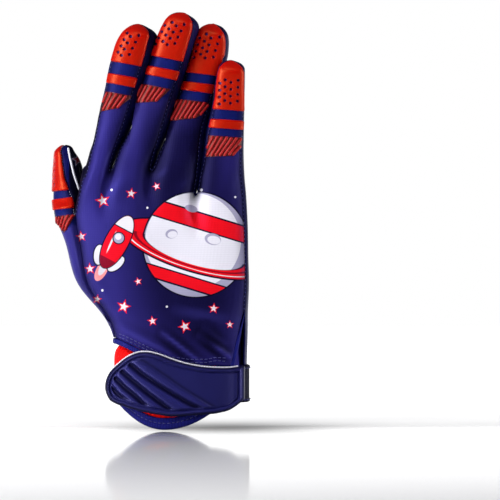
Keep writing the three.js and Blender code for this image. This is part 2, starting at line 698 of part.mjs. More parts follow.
// Rows of depths, each slanted across, as a sheet standing off the fabric. Cells that hold a
// perforation are cut round it.
function gripSheet(front, depths, slants, thick, perforation = () => null) {
  const points = [];
  const own = [];
  const faces = [];
  const add = (place, depth) => {
    const { point, normal } = front.at(depth, place);
    points.push(point.addScaledVector(normal, GRIP_LIFT));
    own.push(normal);
    return points.length - 1;
  };
  const depthAt = (j, place) => depths[j] + slants[j] * (0.5 - place);
  const grid = depths.map((_, j) => {
    return [...Array(ACROSS + 1)].map((__, i) => add(i / ACROSS, depthAt(j, i / ACROSS)));
  });
  for (let j = 0; j < depths.length - 1; j += 1) {
    for (let i = 0; i < ACROSS; i += 1) {
      const corners = [grid[j][i], grid[j][i + 1], grid[j + 1][i + 1], grid[j + 1][i]];
      const cut = perforation(j, i);
      if (!cut) {
        faces.push(corners);
        continue;
      }
      const flat = [[i, j], [i + 1, j], [i + 1, j + 1], [i, j + 1]];
      const contour = flat.map(([u, v]) => new THREE.Vector2(u, v));
      const rim = cut.map(([u, v]) => new THREE.Vector2(u, v));
      const ids = [...corners, ...cut.map(([u, v]) => {
        return add(u / ACROSS, lerp(depths[j], depths[j + 1], v - j));
      })];
      for (const face of THREE.ShapeUtils.triangulateShape(contour, [rim])) {
        const [p, q, r] = face.map((k) => [...contour, ...rim][k]);
        const turned = (q.x - p.x) * (r.y - p.y) - (q.y - p.y) * (r.x - p.x) > 0;
        faces.push((turned ? face : [...face].reverse()).map((k) => ids[k]));
      }
    }
  }
  return thicken(faces, points, own, thick, 0, 0);
}

// The perforations of a fingertip grip, one for each column in each of these rows
const HOLE_SIDES = 6;
const HOLE_ROWS = 4;
const HOLES_FROM = 4.2;        // depth below the fingertip at which the perforated rows begin
const HOLES_STEP = 4.3;
const HOLES_SHIFT = 0.2;       // sideways stagger of the rows, as a share of a column
const ROUND_WIDTH = 1.15;      // a grip's width along its curve, as a share of its chord
function gripPad(front, end, slant) {
  const holesEnd = HOLES_FROM + HOLE_ROWS * HOLES_STEP;
  const depths = [end, ...[...Array(HOLE_ROWS + 1)].map((_, j) => holesEnd - j * HOLES_STEP),
    GRIP_STARTS[1], GRIP_STARTS[0]];
  const width = front.at(holesEnd, 0).point.distanceTo(front.at(holesEnd, 1).point) * ROUND_WIDTH;
  const perforation = (j, i) => {
    if (j < 1 || j > HOLE_ROWS) return null;
    const u = i + 0.5 + (j % 2 ? HOLES_SHIFT : -HOLES_SHIFT);
    return [...Array(HOLE_SIDES)].map((_, k) => {
      const angle = k / HOLE_SIDES * 2 * Math.PI;
      return [u + HOLE_RADIUS / (width / ACROSS) * Math.cos(angle),
        j + 0.5 + HOLE_RADIUS / HOLES_STEP * Math.sin(angle)];
    });
  };
  const slants = depths.map((_, j) => (j === 0 ? slant : 0));
  return gripSheet(front, depths, slants, GRIP_THICK, perforation);
}

for (const [name, row] of Object.entries(GRIPS)) {
  const g = {};
  GRIP.forEach((key, c) => { g[key] = row[c]; });
  const front = frontAt(name);
  addPiece(`${name}_grip_pad`, gripPad(front, g.padEnd, g.slant), "grip");
  const slanted = (rows) => rows.map(() => g.slant);
  const barRows = patchRows(front.depths, g.barEnd, g.barTop);
  const bar = gripSheet(front, barRows, slanted(barRows), BAR_THICK);
  addPiece(`${name}_grip_bar`, bar, "grip");
  const hatchRows = patchRows(front.depths, g.hatchEnd, g.hatchTop);
  const patch = gripSheet(front, hatchRows, slanted(hatchRows), HATCH_THICK);
  addPiece(`${name}_hatch_patch`, patch, "hatch");
}

// The cuff's outline: a rounded oval, by its height above the palm's lower edge
const CUFF = {
  columns: ["above", "half", "deep"],
  rows: [[4, 33.4, 18.8], [-4, 33.8, 19.2], [-8, 36.2, 21.6], [-18, 36.8, 22.6], [-50, 36.4, 23.4]],
};
const CUFF_COLUMNS = 28;
const CUFF_POWER = 2.4;        // between an ellipse and a rounded box
const CUFF_TUCK = 2.0;         // how far the cuff reaches up behind the palm's bound edge
const CUFF_HALF = 36.6;        // its half width at the lip
const PALM_EDGE_HALF = 35;     // half width over which the palm's edge falls from left to right
const CUFF_ROWS = [18, 8, 4, BINDING_WIDTH - CUFF_TUCK]; // its rows, below the palm's edge
const LIP = { lowest: -12.0, x: -8, sag: 15.5, spread: 27, sides: 3.0 };

function oval(half, deep, angle, power) {
  const c = Math.cos(angle);
  const s = Math.sin(angle);
  return [half * Math.sign(c) * Math.abs(c) ** (2 / power), deep * Math.sign(s) * Math.abs(s) ** (2 / power)];
}

const cuffAcross = (angle) => oval(CUFF_HALF, CUFF_HALF, angle, CUFF_POWER);

// Height of the cuff's lower lip: a tongue at the front, level round the back
function lipHeight(angle) {
  const [x, y] = cuffAcross(angle);
  const tongue = LIP.lowest + LIP.sag * ((x - LIP.x) / LIP.spread) ** 2;
  return y < 0 ? Math.min(LIP.sides, tongue) : LIP.sides;
}

// Height of the palm's lower edge above a place on the cuff
function edgeHeight(angle) {
  const share = clamp(cuffAcross(angle)[0] / PALM_EDGE_HALF / 2 + 0.5, 0, 1);
  return lerp(PALM_END_LEFT, PALM_END_RIGHT, share);
}

// A point on the cuff at an angle and a height, moved out of its surface
function cuffPoint(angle, z, out) {
  const row = readTable(CUFF, z - edgeHeight(angle));
  return new THREE.Vector3(...oval(row.half + out, row.deep + out, angle, CUFF_POWER), z);
}
function cuffGrid(s, t) {
  const angle = s * 2 * Math.PI;
  const edge = edgeHeight(angle);
  const heights = [lipHeight(angle), ...CUFF_ROWS.map((down) => edge - down)];
  return cuffPoint(angle, heights[Math.round(t * CUFF_ROWS.length)], 0);
}
addPiece("cuff", sheet(CUFF_COLUMNS, CUFF_ROWS.length, cuffGrid, 0, CUFF_WALL, true), "cuff");

// The lip's binding, folded round the cuff's edge
const HEM = { wall: 0.7, gap: 0.5, width: 3.2 };
function hemPoint(s, t) {
  const angle = s * 2 * Math.PI;
  const lip = lipHeight(angle);
  const fold = [
    [-CUFF_WALL - HEM.gap, HEM.width], [-CUFF_WALL - HEM.gap, -HEM.gap], [HEM.gap, -HEM.gap],
    [HEM.gap, HEM.width],
  ][Math.round(t * 3)];
  return cuffPoint(angle, lip + fold[1], fold[0]);
}
addPiece("cuff_hem", sheet(CUFF_COLUMNS, 3, hemPoint, HEM.wall, 0, true), "royal");

// The closing strap. Its moulded tab stands off the cuff at its free left end.
const STRAP = { halfLeft: 45.5, halfRight: 38.2, deep: 24.3, power: 2.7 };
const STRAP_COLUMNS = 12;
const TAB = {
  columns: ["x", "top", "bottom"],
  rows: [
    [-41.8, 14.0, 9.0], [-40.6, 17.4, 5.6], [-38.4, 20.8, 3.2], [-33.0, 27.0, 0.6],
    [-27.4, 30.4, -1.0], [-21.8, 31.8, -2.8], [-16.8, 31.4, -4.0], [-8.6, 29.0, -5.2],
    [0.0, 26.2, -5.6], [11.2, 24.2, -4.8], [22.4, 23.2, -3.2], [29.0, 23.2, -0.8],
    [33.4, 23.6, 2.6],
  ],
};
const BACKING = { from: -36, to: 32.6, lift: 0.4, inset: 1.5, shows: 0.9 };
const TAB_LIFT = BACKING.lift + BACKING_THICK + 0.3;
const TAB_ROWS = 3;

// A point on the strap's curve at a place across the glove, lifted off it
function strapPoint(x, z, lift) {
  const half = (x < 0 ? STRAP.halfLeft : STRAP.halfRight) + lift;
  const deep = STRAP.deep + lift;
  const share = clamp(Math.abs(x) / half, 0, 1);
  return new THREE.Vector3(x, -deep * (1 - share ** STRAP.power) ** (1 / STRAP.power), z);
}

const tabRows = TAB.rows.length - 1;
function tabPoint(s, t) {
  const x = TAB.rows[Math.round(s * tabRows)][0];
  const row = readTable(TAB, x);
  return strapPoint(x, lerp(row.bottom, row.top, t), TAB_LIFT);
}
let tab = toManifold(sheet(tabRows, TAB_ROWS, tabPoint, TAB_THICK, 0));

// Diagonal ribs moulded on the tab, from the upper left to its lower edge
// start, end: x and z of the first and last ribs' ends
const RIB = {
  count: 6, width: 2.2, step: 7, start: [[-22, 24.4], [-38.4, 10.6]], end: [[24, 0.4], [-24, 0.2]],
};
for (let k = 0; k < RIB.count; k += 1) {
  const f = k / (RIB.count - 1);
  const from = RIB.start[0].map((n, c) => lerp(n, RIB.start[1][c], f));
  const to = RIB.end[0].map((n, c) => lerp(n, RIB.end[1][c], f));
  const length = Math.hypot(to[0] - from[0], to[1] - from[1]);
  const side = [(to[1] - from[1]) / length, (from[0] - to[0]) / length];
  const steps = Math.max(2, Math.round(length / RIB.step));
  const ribPoint = (s, t) => {
    const x = lerp(from[0], to[0], s) - side[0] * RIB.width * (t - 0.5);
    const z = lerp(from[1], to[1], s) - side[1] * RIB.width * (t - 0.5);
    return strapPoint(x, z, TAB_LIFT + TAB_THICK / 2);
  };
  tab = tab.add(toManifold(sheet(steps, 1, ribPoint, TAB_THICK / 2 + RIB_HEIGHT, 0)));
}
addPiece("strap_tab", fromManifold(tab), "strap");

// The white hook backing, whose edge shows along the tab's top
function backingPoint(s, t) {
  const x = lerp(BACKING.from, BACKING.to, s);
  const row = readTable(TAB, x);
  return strapPoint(x, lerp(row.bottom + BACKING.inset, row.top + BACKING.shows, t), BACKING.lift);
}
addPiece("strap_backing", sheet(STRAP_COLUMNS, 1, backingPoint, BACKING_THICK, 0), "white");

// The strap's plain band, from the tab round the little-finger side to the back
// from, to: degrees round the glove; start, end: heights of its lower and upper edge there
const BAND = { thick: 1.6, from: -31, to: 112, lift: 0.8, start: [3.6, 23.8], end: [4.5, 25.5] };
function bandPoint(s, t) {
  const angle = lerp(BAND.from, BAND.to, s) * RAD;
  const [x, y] = oval(STRAP.halfRight + BAND.lift, STRAP.deep + BAND.lift, angle, STRAP.power);
  const [low, high] = BAND.start.map((z, k) => lerp(z, BAND.end[k], s));
  return new THREE.Vector3(x, y, lerp(low, high, t));
}
addPiece("strap_band", sheet(STRAP_COLUMNS, 1, bandPoint, BAND.thick, 0), "strap");

// The strip behind the wrist slit, lapped under both of its edges
const GUSSET = { low: 30, high: 56, lap: 3.0, side: 0.4, inset: FABRIC + 0.7, wall: 0.9 };
function gussetPoint(s, t) {
  const z = lerp(GUSSET.low, GUSSET.high, t);
  const row = readTable(PALM, z);
  const open = clamp((GUSSET.high - z) / (GUSSET.high - GUSSET.low), 0, 1);
  const x = lerp(row.right - GUSSET.lap - SLIT_SHIFT * open, row.right - GUSSET.side, s);
  return new THREE.Vector3(x, palmDepth(row, x, -1), z);
}
addPiece("slit_gusset", sheet(4, 3, gussetPoint, -GUSSET.inset, GUSSET.inset + GUSSET.wall), "royal");

export default glove;
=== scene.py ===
# Receiver's football glove for the left hand, palm side to the camera, standing on its cuff.
import json
import math
import bmesh
import bpy
import numpy as np
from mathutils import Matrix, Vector, kdtree, noise
from mathutils.bvhtree import BVHTree

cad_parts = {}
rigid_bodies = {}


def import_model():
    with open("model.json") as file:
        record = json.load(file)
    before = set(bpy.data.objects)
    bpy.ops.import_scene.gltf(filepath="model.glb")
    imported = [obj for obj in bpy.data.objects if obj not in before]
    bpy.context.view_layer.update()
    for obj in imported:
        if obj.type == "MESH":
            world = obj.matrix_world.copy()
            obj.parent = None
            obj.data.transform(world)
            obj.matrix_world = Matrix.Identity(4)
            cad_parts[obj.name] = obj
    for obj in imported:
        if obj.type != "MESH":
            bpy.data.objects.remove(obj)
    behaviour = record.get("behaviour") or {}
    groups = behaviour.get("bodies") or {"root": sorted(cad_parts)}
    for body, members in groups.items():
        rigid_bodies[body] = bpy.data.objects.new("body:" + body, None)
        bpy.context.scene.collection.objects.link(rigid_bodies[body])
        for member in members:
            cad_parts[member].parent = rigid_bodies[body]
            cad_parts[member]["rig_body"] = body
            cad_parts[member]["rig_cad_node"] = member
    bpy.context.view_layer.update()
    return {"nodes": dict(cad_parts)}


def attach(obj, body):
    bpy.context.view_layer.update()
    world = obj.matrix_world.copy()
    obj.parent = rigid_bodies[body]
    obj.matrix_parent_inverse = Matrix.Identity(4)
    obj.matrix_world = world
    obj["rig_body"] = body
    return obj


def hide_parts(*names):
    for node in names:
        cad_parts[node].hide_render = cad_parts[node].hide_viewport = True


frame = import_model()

# Studio. A plain pale floor just under the cuff, a wide bright wall behind, a tall softbox at each side, one
# above and one high at the left. The camera stands level with the picture's middle, 2.5 m from the glove.
MM = 0.001
PICTURE_PIXELS = 500
PIXEL_MM = 0.56
ZERO_PIXEL_X = 180
ZERO_PIXEL_Y = 408
CAMERA_DISTANCE = 2500
SENSOR_MM = 36
FLOOR_Z = -11.9
FLOOR_RADIUS = 3350
AIM = Vector((-10, 0, 100)) * MM
# name, x, y, z, width, height (mm), power (W)
SOFTBOXES = (
    ("softbox_left", -1080, -400, 300, 200, 1300, 20),
    ("softbox_right", 1080, -220, 260, 130, 1300, 13),
    ("softbox_top", -250, -700, 1400, 700, 400, 4.5),
    ("softbox_key", -1000, -1250, 900, 500, 700, 8),
    ("wall_of_light", 0, 3400, 330, 5200, 760, 17),
)
SURROUNDINGS = 0.08
# the floor's gloss by distance behind the glove (mm): strongest at the lip, as in the retouched photograph
FLOOR_GLOSS = (
    (-700, 0.05), (-470, 0.34), (-180, 0.62), (-10, 0.85), (40, 0.4), (150, 0.4), (420, 0.85), (700, 0.97),
)
# a painted soft shadow on the floor round the cuff: x, y, reach along x and y (mm), depth
PAINTED_FLOOR_SHADOW = (25, 15, 58, 85, 0.72)


def linear(code):
    """An sRGB hex colour as linear numbers with full alpha."""
    channels = [int(code[i:i + 2], 16) / 255 for i in (1, 3, 5)]
    return [c / 12.92 if c <= 0.04045 else ((c + 0.055) / 1.055) ** 2.4 for c in channels] + [1.0]


def add(tree, kind, links=None, **settings):
    """Adds one node, with its settings, and its sockets set to values or linked to other sockets."""
    node = tree.nodes.new(kind)
    for name, value in settings.items():
        setattr(node, name, value)
    for socket, value in (links or {}).items():
        if isinstance(value, bpy.types.NodeSocket):
            tree.links.new(value, node.inputs[socket])
        else:
            node.inputs[socket].default_value = value
    return node


middle_x = (PICTURE_PIXELS / 2 - ZERO_PIXEL_X) * PIXEL_MM
middle_z = (ZERO_PIXEL_Y - PICTURE_PIXELS / 2) * PIXEL_MM
camera_place = Vector((middle_x, -CAMERA_DISTANCE, middle_z)) * MM
bpy.ops.object.select_all(action="DESELECT")
bpy.ops.object.camera_add(location=camera_place, rotation=(math.radians(90), 0, 0))
camera = bpy.context.object
camera.name = "photo_camera"
camera.data.sensor_width = SENSOR_MM
camera.data.lens = SENSOR_MM * CAMERA_DISTANCE / (PICTURE_PIXELS * PIXEL_MM)
bpy.context.scene.camera = camera
bpy.context.scene.view_settings.view_transform = "Standard"

for name, x, y, z, width, height, power in SOFTBOXES:
    place = Vector((x, y, z)) * MM
    turn = (AIM - place).to_track_quat("-Z", "Y").to_euler()
    bpy.ops.object.light_add(type="AREA", location=place, rotation=turn)
    box = bpy.context.object
    box.name = name
    box.data.shape = "RECTANGLE"
    box.data.size = width * MM
    box.data.size_y = height * MM
    box.data.energy = power

world = bpy.data.worlds.new("white_studio")
world.use_nodes = True
world.node_tree.nodes.clear()
bpy.context.scene.world = world
seen = add(world.node_tree, "ShaderNodeLightPath").outputs["Is Camera Ray"]
strength = add(world.node_tree, "ShaderNodeMapRange", {0: seen, 3: SURROUNDINGS, 4: 1.0}).outputs[0]
white = add(world.node_tree, "ShaderNodeBackground", {"Color": linear("#ffffff"), "Strength": strength})
add(world.node_tree, "ShaderNodeOutputWorld", {"Surface": white.outputs[0]})

floor_paint = bpy.data.materials.new("pale_gloss_acrylic")
floor_paint.use_nodes = True
tree = floor_paint.node_tree
tree.nodes.clear()
metres = add(tree, "ShaderNodeTexCoord").outputs["Object"]
# The painted shadow darkens both the floor's colour and its reflection round the cuff.
shade_x, shade_y, reach_x, reach_y, depth = PAINTED_FLOOR_SHADOW
own = add(tree, "ShaderNodeMapping", {"Vector": metres, "Location": (shade_x * MM, shade_y * MM, 0),
          "Scale": (reach_x * MM, reach_y * MM, 1)}, vector_type="TEXTURE").outputs[0]
far = add(tree, "ShaderNodeVectorMath", {0: own}, operation="LENGTH").outputs["Value"]
spread = add(tree, "ShaderNodeMath", {0: far, 1: 2.0}, operation="POWER").outputs[0]
faded = add(tree, "ShaderNodeMath", {0: math.exp(-1), 1: spread}, operation="POWER").outputs[0]
kept = add(tree, "ShaderNodeMapRange", {0: faded, 3: 1.0, 4: 1.0 - depth}).outputs[0]
paint = add(tree, "ShaderNodeVectorMath", {0: linear("#f4f4f6")[:3], 3: kept}, operation="SCALE").outputs[0]
matt = add(tree, "ShaderNodeBsdfDiffuse", {"Color": paint})
gloss = add(tree, "ShaderNodeBsdfGlossy", {"Color": kept, "Roughness": 0.06})
behind = add(tree, "ShaderNodeSeparateXYZ", {0: metres}).outputs[1]
share = FLOOR_GLOSS[0][1]
for (start, low), (end, high) in zip(FLOOR_GLOSS, FLOOR_GLOSS[1:]):
    step = add(tree, "ShaderNodeMapRange", {0: behind, 1: start * MM, 2: end * MM, 3: 0.0, 4: high - low})
    share = add(tree, "ShaderNodeMath", {0: share, 1: step.outputs[0]}, operation="ADD").outputs[0]
both = add(tree, "ShaderNodeMixShader", {0: share, 1: matt.outputs[0], 2: gloss.outputs[0]})
add(tree, "ShaderNodeOutputMaterial", {"Surface": both.outputs[0]})
bpy.ops.mesh.primitive_circle_add(vertices=128, radius=FLOOR_RADIUS * MM, fill_type="NGON",
                                  location=(0, 0, FLOOR_Z * MM))
studio_floor = bpy.context.object
studio_floor.name = "studio_floor"
studio_floor.data.materials.append(floor_paint)

# Sewn skin. Eight pieces of four-way-stretch polyester knit are cut flat, sewn inside out along the fingers'
# sides, turned and stretched over the hand. Here the frame's panels are peeled to their outer sheets, sewn
# into one skin, refined, creased and cut into panels again, so that every seam meets.
PANEL_WALL = 1.2
FABRIC_WALL = 0.9
FAR = 100.0                     # a length that reaches past everything it is compared with
SEWN_APART = 0.9
CROTCH_APART = 3.0
CROTCH_FROM_Z = 60
# frame node: name of the piece, material slot, cloth
PANELS = {
    "palm_panel": ("palm_fabric", "printed_fabric", "printed"),
    "thumb_panel": ("thumb_fabric", "printed_fabric", "printed"),
    "back_panel": ("back_fabric", "back_fabric", "black"),
    "side_strip_little": ("side_fabric_little", "gusset_fabric", "navy"),
    "gusset_thumb_index": ("gusset_fabric_thumb_index", "gusset_fabric", "thumb side"),
    "gusset_index_middle": ("gusset_fabric_index_middle", "gusset_fabric", "navy"),
    "gusset_middle_ring": ("gusset_fabric_middle_ring", "gusset_fabric", "navy"),
    "gusset_ring_little": ("gusset_fabric_ring_little", "gusset_fabric", "navy"),
}


def only(*objects):
    """Selects these objects and no others, the first one active."""
    bpy.ops.object.select_all(action="DESELECT")
    for obj in objects:
        obj.select_set(True)
    bpy.context.view_layer.objects.active = objects[0]


def points_of(obj):
    """The places of a mesh's vertices, in millimetres, one row each."""
    flat = np.empty(len(obj.data.vertices) * 3)
    obj.data.vertices.foreach_get("co", flat)
    return flat.reshape(-1, 3) / MM


def set_points(obj, points):
    obj.data.vertices.foreach_set("co", (points * MM).ravel())
    obj.data.update()


def normals_of(obj):
    flat = np.empty(len(obj.data.vertices) * 3)
    obj.data.vertex_normals.foreach_get("vector", flat)
    return flat.reshape(-1, 3)


def mark(obj, name, values):
    """Writes a value at each vertex, for the material to read."""
    layer = obj.data.attributes.new(name, "FLOAT", "POINT")
    layer.data.foreach_set("value", values)


def frame_copy(node):
    """A free copy of a frame node's mesh, to be worked into a piece."""
    piece = frame["nodes"][node].copy()
    piece.data = piece.data.copy()
    piece.parent = None
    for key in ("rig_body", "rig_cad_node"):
        del piece[key]
    piece.data.materials.clear()
    bpy.context.scene.collection.objects.link(piece)
    return piece


def islands(bm):
    """The faces of a mesh in sets that hang together."""
    left = set(bm.faces)
    sheets = []
    while left:
        front = [left.pop()]
        sheet = set(front)
        while front:
            near = {f for e in front.pop().edges for f in e.link_faces if f in left}
            left -= near
            sheet |= near
            front.extend(near)
        sheets.append(sheet)
    return sheets


def keep_only(bm, sheets, measure):
    """Deletes all the sheets of a mesh but the one with the lowest measure."""
    sheets.sort(key=measure)
    bmesh.ops.delete(bm, geom=[f for sheet in sheets[1:] for f in sheet], context="FACES")


def peel(piece, wall):
    """Leaves only the outer sheet of a walled panel, in quads where it was drawn in quads."""
    bm = bmesh.new()
    bm.from_mesh(piece.data)
    bmesh.ops.remove_doubles(bm, verts=bm.verts, dist=0.001 * MM)
    upright = {e for e in bm.edges if abs(e.calc_length() - wall * MM) < 0.003 * MM}
    rim = set()
    for edge in bm.edges:
        if edge in upright or len(edge.link_faces) != 2:
            continue
        walls = [[e for e in face.edges if e in upright] for face in edge.link_faces]
        if len(walls[0]) == 1 and len(walls[1]) == 1 and not set(walls[0][0].verts) & set(walls[1][0].verts):
            rim.update(edge.link_faces)
    bmesh.ops.delete(bm, geom=list(rim), context="FACES")
    keep_only(bm, islands(bm), lambda sheet: -sum(face.calc_area() for face in sheet))
    bm.to_mesh(piece.data)
    bm.free()


def weld_border(skin, reach, above=None):
    """Joins the open edges of a sheet that lie within reach of each other, above a height if one is given."""
    only(skin)
    bpy.ops.object.mode_set(mode="EDIT")
    bpy.context.tool_settings.mesh_select_mode = (True, False, False)
    bpy.ops.mesh.select_all(action="DESELECT")
    bpy.ops.mesh.select_non_manifold(extend=False, use_wire=False, use_multi_face=False,
                                     use_non_contiguous=False, use_verts=False)
    bpy.ops.object.mode_set(mode="OBJECT")
    for vertex in skin.data.vertices:
        if above is not None and vertex.co.z < above * MM:
            vertex.select = False
    bpy.ops.object.mode_set(mode="EDIT")
    bpy.ops.mesh.remove_doubles(threshold=reach * MM)
    bpy.ops.object.mode_set(mode="OBJECT")


def to_quads(piece):
    only(piece)
    bpy.ops.object.mode_set(mode="EDIT")
    bpy.ops.mesh.select_all(action="SELECT")
    bpy.ops.mesh.tris_convert_to_quads(face_threshold=math.radians(60), shape_threshold=math.radians(100),
                                       topology_influence=2.0, materials=True)
    bpy.ops.object.mode_set(mode="OBJECT")


def smoothed(piece, levels):
    """A sheet's subdivision, which keeps its corners."""
    smooth = piece.modifiers.new("smooth", "SUBSURF")
    smooth.levels = levels
    smooth.render_levels = levels
    smooth.boundary_smooth = "PRESERVE_CORNERS"
    return smooth


def refine(piece, levels, pulls=4):
    """Subdivides a sheet, and pulls its cage out until the first points lie on the smooth surface."""
    aim = points_of(piece)
    cage = aim.copy()
    smooth = smoothed(piece, levels)
    for _ in range(pulls):
        reached = points_of(piece.evaluated_get(bpy.context.evaluated_depsgraph_get()))[:len(aim)]
        cage += aim - reached
        set_points(piece, cage)
    only(piece)
    bpy.ops.object.modifier_apply(modifier=smooth.name)


SEAM_DIP = 0.5
SEAM_DIP_WIDTH = 0.7
PAINTED_SEAM_SHADE = 0.66               # painted shade darkens the cloth beside a seam
PAINTED_SEAM_SHADE_WIDTH = 3.8
PUCKER = 0.16
PUCKER_REACH = 3.0
PUCKER_STEP = 2.4
WAVE = 0.5
WAVE_STEP = 26
FOLD_FROM_Y = 4
FOLD_START = 0.12               # where on a half wave a fold begins
FOLD_DIP = 0.55                 # the cloth dips on both sides of a fold, over twice its width
PAINTED_VALLEY_SHADE = 0.3
VALLEY_AT = 1.7                 # the painted shade lies this many widths from a fold
PAINTED_CREST_LIGHT = 0.24               # a painted highlight pales the cloth along the top of a fold
CREST_WIDTH = 1.1
DARKEST_PAINTED_SHADE = 0.85
BRIGHTEST_PAINTED_HIGHLIGHT = 0.9
# folds on the heel of the hand and at the roots of the fingers, as lines seen from the front:
# x and z of both ends, height, width (mm)
FOLDS = (
    (-9.0, 42.0, 12.0, 25.5, 2.2, 1.9),
    (11.0, 41.0, 28.5, 28.3, 2.6, 1.7),
    (14.0, 44.0, 24.0, 35.5, 1.6, 2.2),
    (-33.0, 45.0, 2.0, 27.0, 1.0, 2.4),
    (-40.0, 118.0, -30.0, 131.0, 0.8, 4.0),
    (-19.0, 127.0, -8.0, 133.0, 0.7, 3.5),
    (2.0, 125.0, 14.0, 131.0, 0.6, 3.5),
    (-56.0, 84.0, -47.0, 61.0, 0.8, 4.5),
    (-2.0, 55.0, 26.0, 50.0, 0.7, 5.0),
)


def seam_mask(obj):
    """True for each vertex that lies between two cloths."""
    corners = np.empty(len(obj.data.loops), int)
    obj.data.loops.foreach_get("vertex_index", corners)
    cloth = np.empty(len(obj.data.polygons), int)
    obj.data.polygons.foreach_get("material_index", cloth)
    sizes = np.empty(len(obj.data.polygons), int)
    obj.data.polygons.foreach_get("loop_total", sizes)
    cloth = np.repeat(cloth, sizes)
    lowest = np.full(len(obj.data.vertices), len(PANELS))
    highest = np.full(len(obj.data.vertices), -1)
    np.minimum.at(lowest, corners, cloth)
    np.maximum.at(highest, corners, cloth)
    return lowest < highest


def reach_to(targets, points):
    """The distance of each point to the nearest of the targets, in millimetres."""
    tree = kdtree.KDTree(len(targets))
    for index, target in enumerate(targets):
        tree.insert(target, index)
    tree.balance()
    return np.array([tree.find(point)[2] for point in points])


def along_line(points, x0, z0, x1, z1):
    """How far each point is from a line on the front, and its place along the line from 0 to 1."""
    start = np.array((x0, z0))
    line = np.array((x1, z1)) - start
    away = points[:, [0, 2]] - start
    place = np.clip(away @ line / (line @ line), 0, 1)
    return np.linalg.norm(away - place[:, None] * line, axis=1), place


# The stretched cloth stands wider than the frame's panels in places, and its fingertips are a little lower.
# finger: foot x and z, tip x and z of its middle line
MIDDLE_LINES = {
    "index": (-41.0, 140.0, -22.0, 215.6),
    "middle": (-19.6, 144.0, 3.0, 221.6),
    "ring": (1.5, 144.0, 19.2, 216.0),
    "little": (24.6, 139.0, 28.6, 195.2),
    "thumb": (-60.0, 108.0, -65.0, 148.6),
}
# finger: rows of z, left seam out, right seam out, left side out, right side out
WIDER = {
    "index": (
        (220, -1.2, 3.2, 0, 1.2), (212, -1, 2.4, 0, 1.3), (205, -0.2, 1.9, 0, 1.2),
        (190, 0.2, 1.7, 0, 1.3), (180, 0, 1.6, 0, 1.2), (169, 0, 1.3, 0, 1.3), (158, -0.5, 0.6, 0, 1.3),
        (150, -0.6, 0.2, 0, 0.7), (143, -0.4, 0, 0, 0),
    ),
    "middle": (
        (225, 0.6, 1, 0, 2), (212, 0.8, 0.6, 0, 1.2), (200, 0.8, 0.6, 0, 0.4), (189, 1.6, 0.8, 0, 0.2),
        (181, 2.1, 0.4, 0, 0.3), (173, 2.7, 0.2, 0, 0.5), (165, 2, 0, 0, 0.7), (155, 0.9, 0, 0, 1),
        (149, 0.4, 0, 0, 0.7), (141, 0, 0, 0, 0),
    ),
    "ring": (
        (220, 0.2, 0.2, 0, -0.4), (212, 0.4, 0.4, 0, -1), (205, 0.6, 1.5, 0, -1.4),
        (190, 0.8, 2, 0, -1.5), (178, 0.8, 1.5, 0, -0.9), (167, 1.6, 1.7, 0, 0.2),
        (158, 1.2, 1.4, 0, 1.2), (150, 0.9, 1.2, 0, 2.2), (142, 0.3, 0.8, 0, 2.9), (131, 0, 0.4, 0, 2.6),
        (124, 0, 0, 0, 1.2), (117, 0, 0, 0, 0),
    ),
    "little": (
        (200, 0, 3.2, 0, -1.4), (190, 0, 3.3, 0, -2.8), (174, -0.4, 3.3, 0, -3), (160, 0.9, 3.2, 0.2, -3),
        (151, 1.2, 2.8, 0.6, -2.6), (142, 1, 1.6, 0.8, -1.5), (131, 0.5, 0.3, 0.6, -0.3),
        (120, 0, 0, 0, 0),
    ),
    "thumb": (
        (150, -0.4, -1.2, 0, -0.4), (142, -0.2, -1.3, 0, -0.3), (130, 0, -1, 0, 0), (118, 0, 0, 0, 0),
    ),
}
SEAM_AT = 7.0                   # the seams' distance from a finger's middle line
WIDER_OVER = 6                  # the widening starts over this height
ROUNDER = 1.7                   # how far a filled finger swells at the front
SWELL_HALF = 10.5
SWELL_FOOT = 20
SWELL_TIP = 8
TIP_DROP = 1.3
TIP_DROP_OVER = 14
# how far the palm's lower edge hangs below the frame's, by x
EDGE_DROP_X = (-37, -30, -21.8, -12, -5, 5, 15, 20, 28.6, 35)
EDGE_DROP = (0, 1.2, 3.3, 5.9, 6.9, 6.1, 3.9, 1.8, 0.4, 0)
EDGE_Z = (39.9, 38.4, 36.6, 34.4, 32.9, 30.6, 28.4, 27.3, 25.4, 24)
EDGE_DROP_OVER = 28
FRONT_Y = 6                     # the front's depth ends here, and fades over the next value
FRONT_OVER = 10


def eased(share):
    """A smooth rise from 0 to 1."""
    share = np.clip(share, 0, 1)
    return share * share * (3 - 2 * share)


def hanging_edge(x):
    """The height at which the palm's lower edge hangs, by x."""
    return np.interp(x, EDGE_DROP_X, EDGE_Z) - np.interp(x, EDGE_DROP_X, EDGE_DROP)


def palm_edge_drop(points):
    """How much lower the front of the wrist hangs, most at the palm's lower edge."""
    drop = np.interp(points[:, 0], EDGE_DROP_X, EDGE_DROP)
    above = points[:, 2] - np.interp(points[:, 0], EDGE_DROP_X, EDGE_Z)
    return drop * eased(1 - above / EDGE_DROP_OVER) * eased((FRONT_Y - points[:, 1]) / FRONT_OVER)


